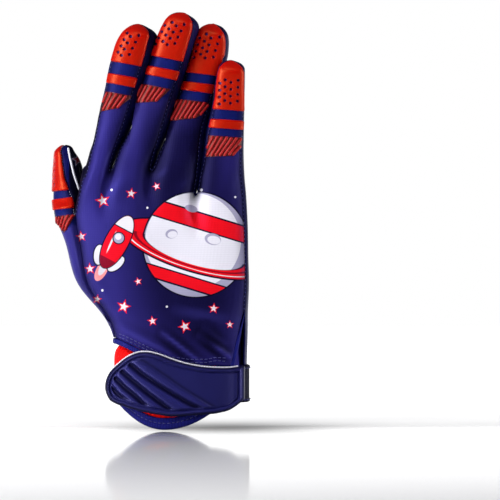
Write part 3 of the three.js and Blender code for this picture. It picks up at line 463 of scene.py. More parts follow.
def fitted(points, normals):
    """The skin's points, moved to where the worn glove's cloth lies."""
    moved = points.copy()
    middles = []
    for x0, z0, x1, z1 in MIDDLE_LINES.values():
        lean = np.array((x1 - x0, z1 - z0)) / math.hypot(x1 - x0, z1 - z0)
        middles.append((points[:, 0] - x0) * lean[1] - (points[:, 2] - z0) * lean[0])
    middles = np.array(middles)
    tips = np.array([line[3] for line in MIDDLE_LINES.values()])
    owner = np.argmin(np.where(points[:, 2] > tips[:, None] + TIP_DROP, FAR, np.abs(middles)), axis=0)
    for index, (finger, rows) in enumerate(WIDER.items()):
        x0, z0, x1, z1 = MIDDLE_LINES[finger]
        lean = math.atan2(x1 - x0, z1 - z0)
        z, left_seam, right_seam, left_side, right_side = np.array(rows[::-1], float).T
        own = (owner == index) & (np.abs(middles[index]) < SEAM_AT * 2)
        across = middles[index][own]
        height = points[own, 2]
        face = normals[own, 0] * math.cos(lean) - normals[own, 2] * math.sin(lean)
        left = across < 0
        seam = np.where(left, np.interp(height, z, left_seam), np.interp(height, z, right_seam))
        side = np.where(left, np.interp(height, z, left_side), np.interp(height, z, right_side))
        out = seam * np.clip(np.abs(across) / SEAM_AT, 0, 1) + side * np.clip(np.abs(face), 0, 1) ** 2
        out *= np.sign(across)
        fade = eased((height - z[0]) / WIDER_OVER)
        moved[own, 0] += out * fade * math.cos(lean)
        moved[own, 2] -= out * fade * math.sin(lean) + TIP_DROP * eased(1 - (z1 - height) / TIP_DROP_OVER)
        if finger != "thumb":
            swell = eased(1 - (across / SWELL_HALF) ** 2) * eased((height - z[0]) / SWELL_FOOT)
            swell *= eased((z1 - height) / SWELL_TIP)
            moved[own, 1] -= ROUNDER * swell * np.clip(-normals[own, 1], 0, 1)
    moved[:, 2] -= palm_edge_drop(points)
    return moved


sheets = []
for node in PANELS:
    sheet = frame_copy(node)
    peel(sheet, PANEL_WALL)
    sheet.data.materials.append(bpy.data.materials.new(node))
    sheets.append(sheet)
only(*sheets)
bpy.ops.object.join()
skin = bpy.context.object
weld_border(skin, SEWN_APART)
weld_border(skin, CROTCH_APART, above=CROTCH_FROM_Z)
to_quads(skin)
refine(skin, 3)

points = fitted(points_of(skin), normals_of(skin))
set_points(skin, points)
normals = normals_of(skin)
to_seam = reach_to(points[seam_mask(skin)], points)
rise = -SEAM_DIP * np.exp(-(to_seam / SEAM_DIP_WIDTH) ** 2)
# painted shade beside the seams
shade = PAINTED_SEAM_SHADE * np.exp(-(to_seam / PAINTED_SEAM_SHADE_WIDTH) ** 2)
crest = np.zeros(len(points))
ripple = np.array([noise.noise(Vector(p / PUCKER_STEP)) for p in points])
billow = np.array([noise.noise(Vector(p / WAVE_STEP)) for p in points])
rise += PUCKER * ripple * np.exp(-to_seam / PUCKER_REACH) + WAVE * billow
facing = np.clip(-normals[:, 1], 0, 1) * (points[:, 1] < FOLD_FROM_Y)
for x0, z0, x1, z1, height, width in FOLDS:
    away, place = along_line(points, x0, z0, x1, z1)
    swell = np.sin(np.pi * (FOLD_START + (1 - 2 * FOLD_START) * place))
    ridge = np.exp(-(away / width) ** 2) - FOLD_DIP * np.exp(-(away / width / 2) ** 2)
    rise += height * swell * ridge * facing
    # Beside each fold the cloth gets painted shade, and along its top a painted highlight.
    valley = np.exp(-((away - VALLEY_AT * width) / width) ** 2)
    shade += PAINTED_VALLEY_SHADE * height * swell * valley * facing
    crest += PAINTED_CREST_LIGHT * height * swell * np.exp(-(away / width / CREST_WIDTH) ** 2) * facing
set_points(skin, points + normals * rise[:, None])
mark(skin, "seam_shade", np.clip(shade, 0, DARKEST_PAINTED_SHADE))
mark(skin, "crest", np.clip(crest - shade, 0, BRIGHTEST_PAINTED_HIGHLIGHT))


def seam_lines(first, second):
    """The seams between two cloths of the skin, each as an ordered list of vertex numbers."""
    names = [m.name for m in skin.data.materials]
    pair = {names.index(first), names.index(second)}
    bm = bmesh.new()
    bm.from_mesh(skin.data)
    near = {}
    for edge in bm.edges:
        if {f.material_index for f in edge.link_faces} == pair:
            a, b = (v.index for v in edge.verts)
            near.setdefault(a, []).append(b)
            near.setdefault(b, []).append(a)
    bm.free()
    lines = []
    while near:
        start = next((v for v in near if len(near[v]) == 1), next(iter(near)))
        line = [start]
        while near.get(line[-1]):
            here = line[-1]
            line.append(near[here].pop())
            near[line[-1]].remove(here)
        for vertex in line:
            if vertex in near and not near[vertex]:
                del near[vertex]
        lines.append(line)
    return lines


skin_points = points_of(skin)
skin_normals = normals_of(skin)
palm_seams = {other: seam_lines("palm_panel", other) for other in PANELS if other != "palm_panel"}
thumb_front_seam = seam_lines("thumb_panel", "gusset_thumb_index")

# Cloth. Warp-knit polyester with elastane, brushed smooth on the face: a soft satin gloss, courses that run
# across and wales that run up. The dye is printed before cutting, so pictures run on over the seams.
# The real courses lie 0.45 mm apart. They are drawn at 1 mm, because closer ones don't show.
COURSE = 1.0
WALE = 1.2
KNIT_RELIEF = 0.03
WAVE_PERIOD = math.pi / 10      # the length of one wave of Blender's wave texture at scale 1
HALF_RIGHT = math.radians(45)   # upright ribs show on the front and on the sides when turned by this
INKS = {
    "white": "#e4e2ee", "grey": "#a4a1bd", "red": "#e60d12", "black": "#070518", "dark red": "#860810",
    "pink": "#ff9c9c",
}
PRINT_BLUR = 0.1                # how far the ink bleeds, in millimetres
VIOLET = "#2e2878"
MIDNIGHT = "#0e0b34"
ROYAL = "#0c165a"
# the colour of the painted highlight along the tops of folds
CREST_HIGHLIGHT_COLOUR = "#4a46b0"
# the print's dark sky round the picture, then painted shade on the lower fingers: x, z, half width, half
# height, share of it that is darkest, strength
DARK_SKY_AND_PAINTED_SHADE = (
    (8, 84, 57, 100, 0.28, 1.0), (11, 156, 19, 46, 0.25, 0.6), (-12, 150, 18, 44, 0.2, 0.68),
    (-34, 152, 10, 40, 0.2, 0.38),
)
EVERYWHERE = (-9, 9)
THROUGH = 1e6                   # a figure is printed straight through, so its size along y has no end
SHEEN_TINT = "#6a62d8"          # light passes through the dyed fibres before it glints off them

# The print's own picture: a striped planet with a ring, a rocket and stars. Sizes are half width and half
# height; inner is a hoop's hole; band keeps a slice of the figure's own height, from -1 to 1.
# figure, ink, x, z, half width, half height, turn, inner, band
PLANET = (9, 91.6)
PLANET_TILT = -17
PICTURE = [
    ("oval", "black", 8, 89, 43.0, 13.0, PLANET_TILT, 0.66, EVERYWHERE),
    ("oval", "red", 8, 89, 42.0, 12.0, PLANET_TILT, 0.71, EVERYWHERE),
    ("oval", "black", *PLANET, 30.0, 30.0, 0, 0, EVERYWHERE),
    ("oval", "grey", *PLANET, 29.1, 29.1, 0, 0, EVERYWHERE),
    ("oval", "white", 7.5, 93.6, 26.6, 26.6, 0, 0, EVERYWHERE),
    ("oval", "black", *PLANET, 29.2, 29.2, PLANET_TILT, 0, (0.28, 0.62)),
    ("oval", "red", *PLANET, 29.1, 29.1, PLANET_TILT, 0, (0.31, 0.59)),
    ("oval", "black", *PLANET, 29.2, 29.2, PLANET_TILT, 0, (-0.86, -0.6)),
    ("oval", "red", *PLANET, 29.1, 29.1, PLANET_TILT, 0, (-0.83, -0.63)),
    ("oval", "grey", -4.5, 97.5, 3.4, 2.6, 10, 0, EVERYWHERE),
    ("oval", "white", -4.0, 97.1, 2.7, 1.9, 10, 0, EVERYWHERE),
    ("oval", "grey", 18.5, 94.5, 4.6, 3.2, -12, 0, EVERYWHERE),
    ("oval", "white", 19.1, 94.0, 3.7, 2.3, -12, 0, EVERYWHERE),
    ("oval", "grey", 6.5, 111.6, 3.6, 1.9, -17, 0, EVERYWHERE),
    ("oval", "black", 8, 89, 43.0, 13.0, PLANET_TILT, 0.66, (-9, 0)),
    ("oval", "red", 8, 89, 42.0, 12.0, PLANET_TILT, 0.71, (-9, 0)),
    ("oval", "dark red", 8, 89, 35.2, 9.8, PLANET_TILT, 0.94, (-9, 0)),
    ("oval", "white", 8, 89, 39.9, 11.1, PLANET_TILT, 0.965, (-0.99, -0.3)),
]
ROCKET = (-35, 93)
ROCKET_TURN = -28
# figure, ink, place across and along the rocket, half width, half height, turn, inner, band
ROCKET_FIGURES = (
    ("oval", "pink", 0, -18.0, 3.0, 6.4, 0, 0, EVERYWHERE),
    ("oval", "white", 0, -16.6, 1.8, 4.4, 0, 0, EVERYWHERE),
    ("oval", "black", -5.4, -11.0, 3.5, 6.2, 22, 0, EVERYWHERE),
    ("oval", "black", 5.4, -11.0, 3.5, 6.2, -22, 0, EVERYWHERE),
    ("oval", "white", -5.4, -11.0, 2.8, 5.5, 22, 0, EVERYWHERE),
    ("oval", "white", 5.4, -11.0, 2.8, 5.5, -22, 0, EVERYWHERE),
    ("oval", "black", 0, 0, 7.0, 16.6, 0, 0, EVERYWHERE),
    ("oval", "red", 0, 0, 6.3, 15.9, 0, 0, EVERYWHERE),
    ("oval", "white", 0, 0, 6.3, 15.9, 0, 0, (0.52, 1)),
    ("oval", "black", 0, 0, 6.4, 16.0, 0, 0, (0.49, 0.53)),
    ("oval", "dark red", 0, 0, 6.3, 15.9, 0, 0, (-1, -0.66)),
    ("oval", "white", -2.6, -1.5, 0.5, 6.0, 4, 0, EVERYWHERE),
    ("oval", "black", 0, 2.4, 3.5, 3.5, 0, 0, EVERYWHERE),
    ("oval", "grey", 0, 2.4, 2.9, 2.9, 0, 0, EVERYWHERE),
    ("oval", "white", -0.6, 3.0, 1.8, 1.8, 0, 0, EVERYWHERE),
)
for figure, ink, across, along, wide, high, turn, inner, band in ROCKET_FIGURES:
    lean = math.radians(ROCKET_TURN)
    x = ROCKET[0] + across * math.cos(lean) - along * math.sin(lean)
    z = ROCKET[1] + across * math.sin(lean) + along * math.cos(lean)
    PICTURE.append((figure, ink, x, z, wide, high, turn + ROCKET_TURN, inner, band))
STAR_RIM = 1.55                 # the red rim's size against the star's
# x, z, size, turn of each star
STARS = (
    (-43, 116, 2.9, 12), (-27, 120, 2.2, -8), (-13, 124, 1.7, 20), (-50, 78, 2.3, 5), (-23, 71, 1.6, 15),
    (-31, 57, 2.8, -14), (-15, 49, 2.0, 8), (3, 46, 2.6, 22), (19, 56, 2.1, -6), (28, 47, 1.6, 0),
    (-55, 96, 2.2, 10), (-46, 61, 1.9, -10),
)
for x, z, size, turn in STARS:
    PICTURE.append(("star", "red", x, z, size * STAR_RIM, size * STAR_RIM, turn, 0, EVERYWHERE))
    PICTURE.append(("star", "white", x, z, size, size, turn, 0, EVERYWHERE))
SPECKS = ((-38, 122, 0.7), (-18, 112, 0.6), (-43, 66, 0.7), (-7, 57, 0.6), (12, 122, 0.8), (31, 118, 0.6))
for x, z, size in SPECKS:
    PICTURE.append(("oval", "white", x, z, size, size, 0, 0, EVERYWHERE))
BACK_PICTURE = [
    ("star", "grey", -57.4, 139.5, 4.2, 4.2, 14, 0, EVERYWHERE),
    ("star", "dark red", -57.4, 139.5, 3.1, 3.1, 14, 0, EVERYWHERE),
]
SIDE_PICTURE = [("oval", "black", -50, 135, 12.5, 45, 0, 0, EVERYWHERE)] + BACK_PICTURE


STAR_NOTCH = 0.42               # how far in the notches of a star reach, of its size


def star_measure():
    """A node group that is 1 on the outline of a five-point star of size 1, less inside it."""
    group = bpy.data.node_groups.new("five_point_star", "ShaderNodeTree")
    group.interface.new_socket("Place", in_out="INPUT", socket_type="NodeSocketVector")
    group.interface.new_socket("Measure", in_out="OUTPUT", socket_type="NodeSocketFloat")
    point = math.tau / 5
    across = STAR_NOTCH * math.sin(point / 2)
    along = 1 - STAR_NOTCH * math.cos(point / 2)
    place = add(group, "NodeGroupInput").outputs[0]
    parts = add(group, "ShaderNodeSeparateXYZ", {0: place})
    reach = add(group, "ShaderNodeVectorMath", {0: place}, operation="LENGTH").outputs["Value"]
    angle = add(group, "ShaderNodeMath", {0: parts.outputs[0], 1: parts.outputs[2]}, operation="ARCTAN2")
    turned = add(group, "ShaderNodeMath", {0: angle.outputs[0], 1: point / 2 + math.tau}, operation="ADD")
    fold = add(group, "ShaderNodeMath", {0: turned.outputs[0], 1: point}, operation="MODULO")
    centred = add(group, "ShaderNodeMath", {0: fold.outputs[0], 1: point / 2}, operation="SUBTRACT")
    sector = add(group, "ShaderNodeMath", {0: centred.outputs[0]}, operation="ABSOLUTE").outputs[0]
    cosine = add(group, "ShaderNodeMath", {0: sector}, operation="COSINE").outputs[0]
    sine = add(group, "ShaderNodeMath", {0: sector}, operation="SINE").outputs[0]
    outward = add(group, "ShaderNodeMath", {0: sine, 1: along / across}, operation="MULTIPLY").outputs[0]
    both = add(group, "ShaderNodeMath", {0: cosine, 1: outward}, operation="ADD").outputs[0]
    measure = add(group, "ShaderNodeMath", {0: both, 1: reach}, operation="MULTIPLY").outputs[0]
    add(group, "NodeGroupOutput", {0: measure})
    return group


star_group = star_measure()


def print_figure(tree, ground, place, row):
    """Prints one figure of a picture over the ground colour, and returns the new colour."""
    figure, ink, x, z, wide, high, turn, inner, (low, top) = row
    own = add(tree, "ShaderNodeMapping", {"Vector": place, "Location": (x, 0, z),
              "Rotation": (0, math.radians(-turn), 0), "Scale": (wide, THROUGH, high)},
              vector_type="TEXTURE").outputs[0]
    if figure == "star":
        measure = add(tree, "ShaderNodeGroup", {}, node_tree=star_group)
        tree.links.new(own, measure.inputs[0])
        measure = measure.outputs[0]
    else:
        measure = add(tree, "ShaderNodeVectorMath", {0: own}, operation="LENGTH").outputs["Value"]
    blur = PRINT_BLUR / min(wide, high)
    mask = add(tree, "ShaderNodeMapRange", {0: measure, 1: 1 + blur, 2: 1 - blur}).outputs[0]
    if inner:
        hole = add(tree, "ShaderNodeMapRange", {0: measure, 1: inner - blur, 2: inner + blur}).outputs[0]
        mask = add(tree, "ShaderNodeMath", {0: mask, 1: hole}, operation="MULTIPLY").outputs[0]
    if (low, top) != EVERYWHERE:
        height = add(tree, "ShaderNodeSeparateXYZ", {0: own}).outputs[2]
        slack = PRINT_BLUR / high
        above = add(tree, "ShaderNodeMapRange", {0: height, 1: low - slack, 2: low + slack}).outputs[0]
        below = add(tree, "ShaderNodeMapRange", {0: height, 1: top + slack, 2: top - slack}).outputs[0]
        mask = add(tree, "ShaderNodeMath", {0: mask, 1: above}, operation="MULTIPLY").outputs[0]
        mask = add(tree, "ShaderNodeMath", {0: mask, 1: below}, operation="MULTIPLY").outputs[0]
    return add(tree, "ShaderNodeMix", {0: mask, 6: ground, 7: linear(INKS[ink])}, data_type="RGBA").outputs[2]


def new_material(name):
    """An empty material, its node tree, and a socket with the place on the piece in millimetres."""
    material = bpy.data.materials.new(name)
    material.use_nodes = True
    tree = material.node_tree
    tree.nodes.clear()
    metres = add(tree, "ShaderNodeTexCoord").outputs["Object"]
    place = add(tree, "ShaderNodeMapping", {"Vector": metres, "Scale": (1 / MM,) * 3}).outputs[0]
    return material, tree, place


def knit_cloth(name, picture=(), ground=None, sky=False):
    """Printed or dyed knit. With sky, the ground runs from violet to midnight, and royal on the fingers."""
    cloth, tree, place = new_material(name)
    courses = add(tree, "ShaderNodeTexWave", {"Vector": place, "Scale": WAVE_PERIOD / COURSE,
                  "Distortion": 0.5, "Detail": 1.0, "Detail Scale": 1.0}, bands_direction="Z").outputs["Fac"]
    turned = add(tree, "ShaderNodeMapping", {"Vector": place, "Rotation": (0, 0, HALF_RIGHT)}).outputs[0]
    wales = add(tree, "ShaderNodeTexWave", {"Vector": turned, "Scale": WAVE_PERIOD / WALE,
                "Distortion": 0.5, "Detail": 1.0}, bands_direction="X").outputs["Fac"]
    loops = add(tree, "ShaderNodeMath", {0: courses, 1: 0.7, 2: wales}, operation="MULTIPLY_ADD").outputs[0]
    bump = add(tree, "ShaderNodeBump", {"Strength": 1.0, "Distance": KNIT_RELIEF * MM, "Height": loops})
    if sky:
        # The print's dark sky round the picture, and painted shade over the lower fingers.
        dark_sky_and_shade = 0.0
        for x, z, wide, high, darkest, strength in DARK_SKY_AND_PAINTED_SHADE:
            own = add(tree, "ShaderNodeMapping", {"Vector": place, "Location": (x, 0, z),
                      "Scale": (wide, THROUGH, high)}, vector_type="TEXTURE").outputs[0]
            far = add(tree, "ShaderNodeVectorMath", {0: own}, operation="LENGTH").outputs["Value"]
            dark = add(tree, "ShaderNodeMapRange", {0: far, 1: darkest, 2: 1.0, 3: strength, 4: 0.0},
                       interpolation_type="SMOOTHSTEP").outputs[0]
            dark_sky_and_shade = add(tree, "ShaderNodeMath", {0: dark_sky_and_shade, 1: dark}, operation="ADD",
                        use_clamp=True).outputs[0]
        sky_colour = add(tree, "ShaderNodeMix", {0: dark_sky_and_shade, 6: linear(VIOLET), 7: linear(MIDNIGHT)},
                         data_type="RGBA").outputs[2]
        # a painted highlight along the tops of folds
        crest = add(tree, "ShaderNodeAttribute", attribute_name="crest").outputs["Fac"]
        sky_colour = add(tree, "ShaderNodeMix", {0: crest, 6: sky_colour, 7: linear(CREST_HIGHLIGHT_COLOUR)},
                         data_type="RGBA").outputs[2]
        fingers = add(tree, "ShaderNodeAttribute", attribute_name="royal").outputs["Fac"]
        colour = add(tree, "ShaderNodeMix", {0: fingers, 6: sky_colour, 7: linear(ROYAL)},
                     data_type="RGBA").outputs[2]
    else:
        uneven = add(tree, "ShaderNodeTexNoise", {"Vector": place, "Scale": 0.25, "Detail": 4.0}).outputs[0]
        shade = add(tree, "ShaderNodeMapRange", {0: uneven, 3: 0.8, 4: 1.2}).outputs[0]
        colour = add(tree, "ShaderNodeVectorMath", {0: linear(ground)[:3], 3: shade},
                     operation="SCALE").outputs[0]
    for row in picture:
        colour = print_figure(tree, colour, place, row)
    thread = add(tree, "ShaderNodeMapRange", {0: courses, 3: 0.95, 4: 1.02}).outputs[0]
    # painted shade beside seams and folds darkens the colour
    near = add(tree, "ShaderNodeAttribute", attribute_name="seam_shade").outputs["Fac"]
    kept = add(tree, "ShaderNodeMath", {0: 1.0, 1: near}, operation="SUBTRACT").outputs[0]
    thread = add(tree, "ShaderNodeMath", {0: thread, 1: kept}, operation="MULTIPLY").outputs[0]
    colour = add(tree, "ShaderNodeVectorMath", {0: colour, 3: thread}, operation="SCALE").outputs[0]
    shader = add(tree, "ShaderNodeBsdfPrincipled", {"Base Color": colour, "Roughness": 0.5, "IOR": 1.5,
                 "Specular Tint": linear(SHEEN_TINT), "Specular IOR Level": 0.3, "Normal": bump.outputs[0]})
    add(tree, "ShaderNodeOutputMaterial", {"Surface": shader.outputs[0]})
    return cloth


CLOTHS = {
    "printed": knit_cloth("printed_polyester_knit", PICTURE, sky=True),
    "black": knit_cloth("black_polyester_knit", BACK_PICTURE, ground="#06040f"),
    "navy": knit_cloth("navy_polyester_knit", ground="#080c40"),
    "thumb side": knit_cloth("thumb_side_polyester_knit", SIDE_PICTURE, ground="#0e1462"),
    "violet": knit_cloth("violet_polyester_knit", ground="#262270"),
}

# finger: tip x, tip z, and the lean of its end from upright, in degrees
FINGERS = {
    "index": (-22.0, 215.6, 17), "middle": (3.0, 221.6, 19), "ring": (19.2, 216.0, 16),
    "little": (28.6, 195.2, 4), "thumb": (-66.0, 148.6, -6),
}
# Depths below the fingertip at which the grips begin and end, and how much lower their left edge lies
# finger: end of pad, top and end of bar, top and end of hatch, slant
GRIPS = {
    "index": (24.6, 31.2, 36.9, 41.6, 50.4, 2.2), "middle": (28.3, 33.9, 39.2, 44.6, 53.8, 2.6),
    "ring": (30.4, 35.4, 40.6, 45.8, 55.0, 3.0), "little": (28.9, 34.2, 39.3, 43.5, 55.2, 0.0),
    "thumb": (26.6, 31.0, 37.0, 40.6, 49.4, 0.0),
}
FINGER_WIDTH = 20
ROYAL_TO = 0.7                  # how far down its hatch patch a finger's royal cloth ends
# finger: the lines seen from the front on which its hatch patch ends below, as x and z of both ends
HATCH_FOOT = {
    "index": ((-44.0, 165.8, -34.2, 167.6), (-34.2, 167.6, -27.2, 173.4)),
    "middle": ((-25.0, 170.5, -12.0, 171.2), (-12.6, 171.0, -4.1, 179.0)),
    "ring": ((-4.0, 160.6, 9.3, 162.1), (9.3, 162.1, 15.2, 166.8)),
    "little": ((16.0, 140.4, 30.0, 140.9), (29.8, 140.8, 35.2, 146.3)),
    "thumb": ((-75.0, 112.0, -65.6, 99.0), (-64.6, 98.6, -58.6, 107.5)),
}


def depth_of(finger, points, slant):
    """How far points lie below the fingertip, measured across the finger's slanted lines."""
    tip_x, tip_z, lean = FINGERS[finger]
    lean = math.radians(lean)
    away = points[:, [0, 2]] - (tip_x, tip_z)
    down = -(away @ (math.sin(lean), math.cos(lean)))
    across = away @ (math.cos(lean), -math.sin(lean))
    return down + across * slant / FINGER_WIDTH, across


def colour_fingers(panel):
    """Marks where the finger ends are dyed royal blue, from under the hatch patches up."""
    points = points_of(panel)
    royal = np.zeros(len(points))
    fingers = ["thumb"] if panel.name == "thumb_fabric" else ["index", "middle", "ring", "little"]
    middles = np.abs([depth_of(finger, points, 0)[1] for finger in fingers])
    owner = np.argmin(middles, axis=0)
    for index, finger in enumerate(fingers):
        _, _, _, hatch_top, hatch_end, slant = GRIPS[finger]
        depth, across = depth_of(finger, points, slant)
        lowest = hatch_top + (hatch_end - hatch_top) * ROYAL_TO
        royal[(depth < lowest) & (owner == index) & (np.abs(across) < FINGER_WIDTH)] = 1
    mark(panel, "royal", royal)


only(skin)
bpy.ops.object.mode_set(mode="EDIT")
bpy.ops.mesh.select_all(action="SELECT")
bpy.ops.mesh.separate(type="MATERIAL")
bpy.ops.object.mode_set(mode="OBJECT")
outer_sheets = {}
for panel in list(bpy.context.selected_objects):
    node = panel.data.materials[panel.data.polygons[0].material_index].name
    name, slot, cloth = PANELS[node]
    panel.name = name
    panel.data.materials.clear()
    panel.data.polygons.foreach_set("material_index", [0] * len(panel.data.polygons))
    outer_sheets[node] = panel.data.copy()
    panel.data.materials.append(CLOTHS[cloth])
    if cloth == "printed":
        colour_fingers(panel)
    only(panel)
    bpy.ops.object.shade_smooth()
    wall = panel.modifiers.new("wall", "SOLIDIFY")
    wall.thickness = FABRIC_WALL * MM
    wall.offset = -1
    bpy.ops.object.modifier_apply(modifier=wall.name)
    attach(panel, "root")
    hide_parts(node)

# Grips. Silicone is moulded straight onto the front of each finger: a perforated pad at the tip, a bar, and a
# patch of slanting bars. Each is cut from the cloth's own outer sheet, then raised with rounded edges.
GRIP_SEAT = 0.08
TIP_THINS_OVER = 8
TIP_THINNEST = 0.3
EDGE_ROUND = 0.7
EDGE_HEIGHT = 0.12              # how high the rounded edge starts
SPARE = 6                       # cloth kept past a grip's end until it is cut
FINGER_REACH = 16               # and to each side of its finger's middle
HOLE_RADIUS = 0.75
HOLE_DEPTH = 0.9
HOLE_WALL = 0.3                 # a hole's wall slopes over this width
HOLE_PITCH = 3.8
HOLE_ROWS = 4
THUMB_MIDDLE_Y = 14
# finger: lean of its columns of holes, and the place across and depth of each column's first hole
HOLES = {
    "index": (26, ((3.0, 7.5), (-0.6, 9.8), (-3.0, 9.0))),
    "middle": (26, ((3.2, 7.3), (-0.2, 9.7), (-3.0, 9.1), (-5.9, 12.2))),
    "ring": (16, ((5.3, 7.9), (1.2, 9.6), (-1.8, 8.3), (-4.7, 11.1))),
    "little": (2, ((-5.1, 14.2), (-2.4, 12.2), (0.6, 13.5), (4.3, 12.3))),
    "thumb": (0, ((0.0, 12.0), (3.2, 10.0), (6.4, 12.0), (9.6, 10.4))),
}


def closed_plate(name, top, bottom, faces, smooth=True):
    """A closed solid from two matching sheets, the top one facing outwards."""
    count = len(top)
    used = {}
    for face in faces:
        for a, b in zip(face, face[1:] + face[:1]):
            used[(a, b)] = True
    rim = [(a, b) for a, b in used if (b, a) not in used]
    sides = [(b, a, a + count, b + count) for a, b in rim]
    under = [[v + count for v in reversed(face)] for face in faces]
    mesh = bpy.data.meshes.new(name)
    mesh.from_pydata(np.vstack((top, bottom)) * MM, [], list(faces) + under + sides)
    mesh.update()
    plate = bpy.data.objects.new(name, mesh)
    bpy.context.scene.collection.objects.link(plate)
    if smooth:
        only(plate)
        bpy.ops.object.shade_smooth_by_angle(angle=math.radians(50))
    return plate


def middle_of(faces):
    """The middle of some faces, in millimetres."""
    return sum((f.calc_center_median() for f in faces), Vector()) / len(faces) / MM


def cut_away(bm, place, kept_side):
    """Cuts a sheet along a plane, and drops what lies behind it."""
    bmesh.ops.bisect_plane(bm, geom=bm.verts[:] + bm.edges[:] + bm.faces[:], dist=0.02 * MM,
                           plane_co=place * MM, plane_no=kept_side, clear_inner=True)


def cut_from_cloth(finger, upper, lower, slant, levels, foot=()):
    """The part of a finger's front between two depths and above the lines of its foot, as a finer sheet."""
    cloth = outer_sheets["thumb_panel" if finger == "thumb" else "palm_panel"]
    tip_x, tip_z, lean = FINGERS[finger]
    lean = math.radians(lean)
    down = Vector((-math.sin(lean), 0, -math.cos(lean)))
    side = Vector((math.cos(lean), 0, -math.sin(lean)))
    normal = (down + side * slant / FINGER_WIDTH).normalized()
    tip = Vector((tip_x, 0, tip_z))
    bm = bmesh.new()
    bm.from_mesh(cloth)
    far = [f for f in bm.faces
           if abs((middle_of([f]) - tip).dot(side)) > FINGER_REACH
           or (middle_of([f]) - tip).dot(down) > lower + SPARE]
    bmesh.ops.delete(bm, geom=far, context="FACES")
    for depth, keep in ((upper, 1), (lower, -1)):
        if depth > 0:
            cut_away(bm, tip + down * depth, normal * keep)
    for x0, z0, x1, z1 in foot:
        cut_away(bm, Vector((x0, 0, z0)), (z0 - z1, 0, x1 - x0))
    keep_only(bm, islands(bm), lambda part: abs((middle_of(part) - tip).dot(side)))
    mesh = bpy.data.meshes.new(finger)
    bm.to_mesh(mesh)
    bm.free()
    sheet = bpy.data.objects.new(finger, mesh)
    bpy.context.scene.collection.objects.link(sheet)
    finer = smoothed(sheet, levels)
    only(sheet)
    bpy.ops.object.modifier_apply(modifier=finer.name)
    return sheet


def border_points(sheet):
    """Points along the open edge of a sheet."""
    ends = np.empty(len(sheet.data.edges) * 2, int)
    sheet.data.edges.foreach_get("vertices", ends)
    corners = np.empty(len(sheet.data.loops), int)
    sheet.data.loops.foreach_get("edge_index", corners)
    single = np.bincount(corners, minlength=len(sheet.data.edges)) == 1
    points = points_of(sheet)
    a, b = points[ends.reshape(-1, 2)[single]].transpose(1, 0, 2)
    return np.vstack((a, (a + b) / 2, b))


def raised(sheet, name, thick, recess=None, tip=None):
    """Raises a sheet off the cloth into a moulded plate with a rounded edge, recessed by a function.

    With a finger as tip, it thins out over the fingertip."""
    points = points_of(sheet)
    normals = normals_of(sheet)
    if tip:
        grown = eased(depth_of(tip, points, 0)[0] / TIP_THINS_OVER)
        thick = thick * (TIP_THINNEST + (1 - TIP_THINNEST) * grown)
    inward = np.clip(reach_to(border_points(sheet), points) / EDGE_ROUND, 0, 1)
    height = GRIP_SEAT + EDGE_HEIGHT + (thick - EDGE_HEIGHT) * np.sqrt(1 - (1 - inward) ** 2)
    depth = np.zeros(len(points)) if recess is None else recess(points)
    top = points + normals * (height - depth)[:, None]
    bottom = points + normals * GRIP_SEAT
    faces = [list(p.vertices) for p in sheet.data.polygons]
    plate = closed_plate(name, top, bottom, faces)
    mark(plate, "hole", np.concatenate((depth / HOLE_DEPTH, np.zeros(len(points)))))
    bpy.data.objects.remove(sheet)
    return plate


def silicone(name, code, deep, glint):
    """Moulded silicone: smooth, slightly soft gloss, darker where a perforation shows the cloth, with painted
    shade down its walls.
    """
    rubber, tree, place = new_material(name)
    hole = add(tree, "ShaderNodeAttribute", attribute_name="hole").outputs["Fac"]
    # a perforation's bottom shows the cloth's colour; down its walls the colour darkens as painted shade
    colour = add(tree, "ShaderNodeMix", {0: hole, 6: linear(code), 7: linear(deep)},
                 data_type="RGBA").outputs[2]
    tint = add(tree, "ShaderNodeMix", {0: hole, 6: linear(glint), 7: linear(SHEEN_TINT)},
               data_type="RGBA").outputs[2]
    grain = add(tree, "ShaderNodeTexNoise", {"Vector": place, "Scale": 0.6, "Detail": 3.0}).outputs["Fac"]
    bump = add(tree, "ShaderNodeBump", {"Strength": 1.0, "Distance": 0.08 * MM, "Height": grain}).outputs[0]
    shine = add(tree, "ShaderNodeMapRange", {0: grain, 3: 0.33, 4: 0.41}).outputs[0]
    shader = add(tree, "ShaderNodeBsdfPrincipled", {"Base Color": colour, "Roughness": shine, "IOR": 1.43,
                 "Specular IOR Level": 0.9, "Specular Tint": tint, "Normal": bump})
    add(tree, "ShaderNodeOutputMaterial", {"Surface": shader.outputs[0]})
    return rubber


red_silicone = silicone("red_silicone", "#ac0301", "#14032a", "#ff8c48")
hatch_silicone = silicone("hatch_silicone", "#980e16", "#2c0308", "#ff9c90")
hatch_film = silicone("hatch_film", "#38040c", "#2c0308", "#ff9c90")


def perforation(finger):
    """The recess of a fingertip pad's holes, as a function of points."""
    lean, columns = HOLES[finger]
    tip_x, tip_z, _ = FINGERS[finger]
    lean = math.radians(lean)

    def recess(points):
        away = points[:, [0, 2]] - (tip_x, tip_z)
        down = -(away @ (math.sin(lean), math.cos(lean)))
        across = away @ (math.cos(lean), -math.sin(lean))
        if finger == "thumb":
            across = points[:, 1] - THUMB_MIDDLE_Y
        depth = np.zeros(len(points))
        for place, first in columns:
            for row in range(HOLE_ROWS):
                away = np.hypot(across - place, down - first - row * HOLE_PITCH)
                depth = np.maximum(depth, np.clip((HOLE_RADIUS - away) / HOLE_WALL + 0.5, 0, 1))
        return depth * HOLE_DEPTH
    return recess


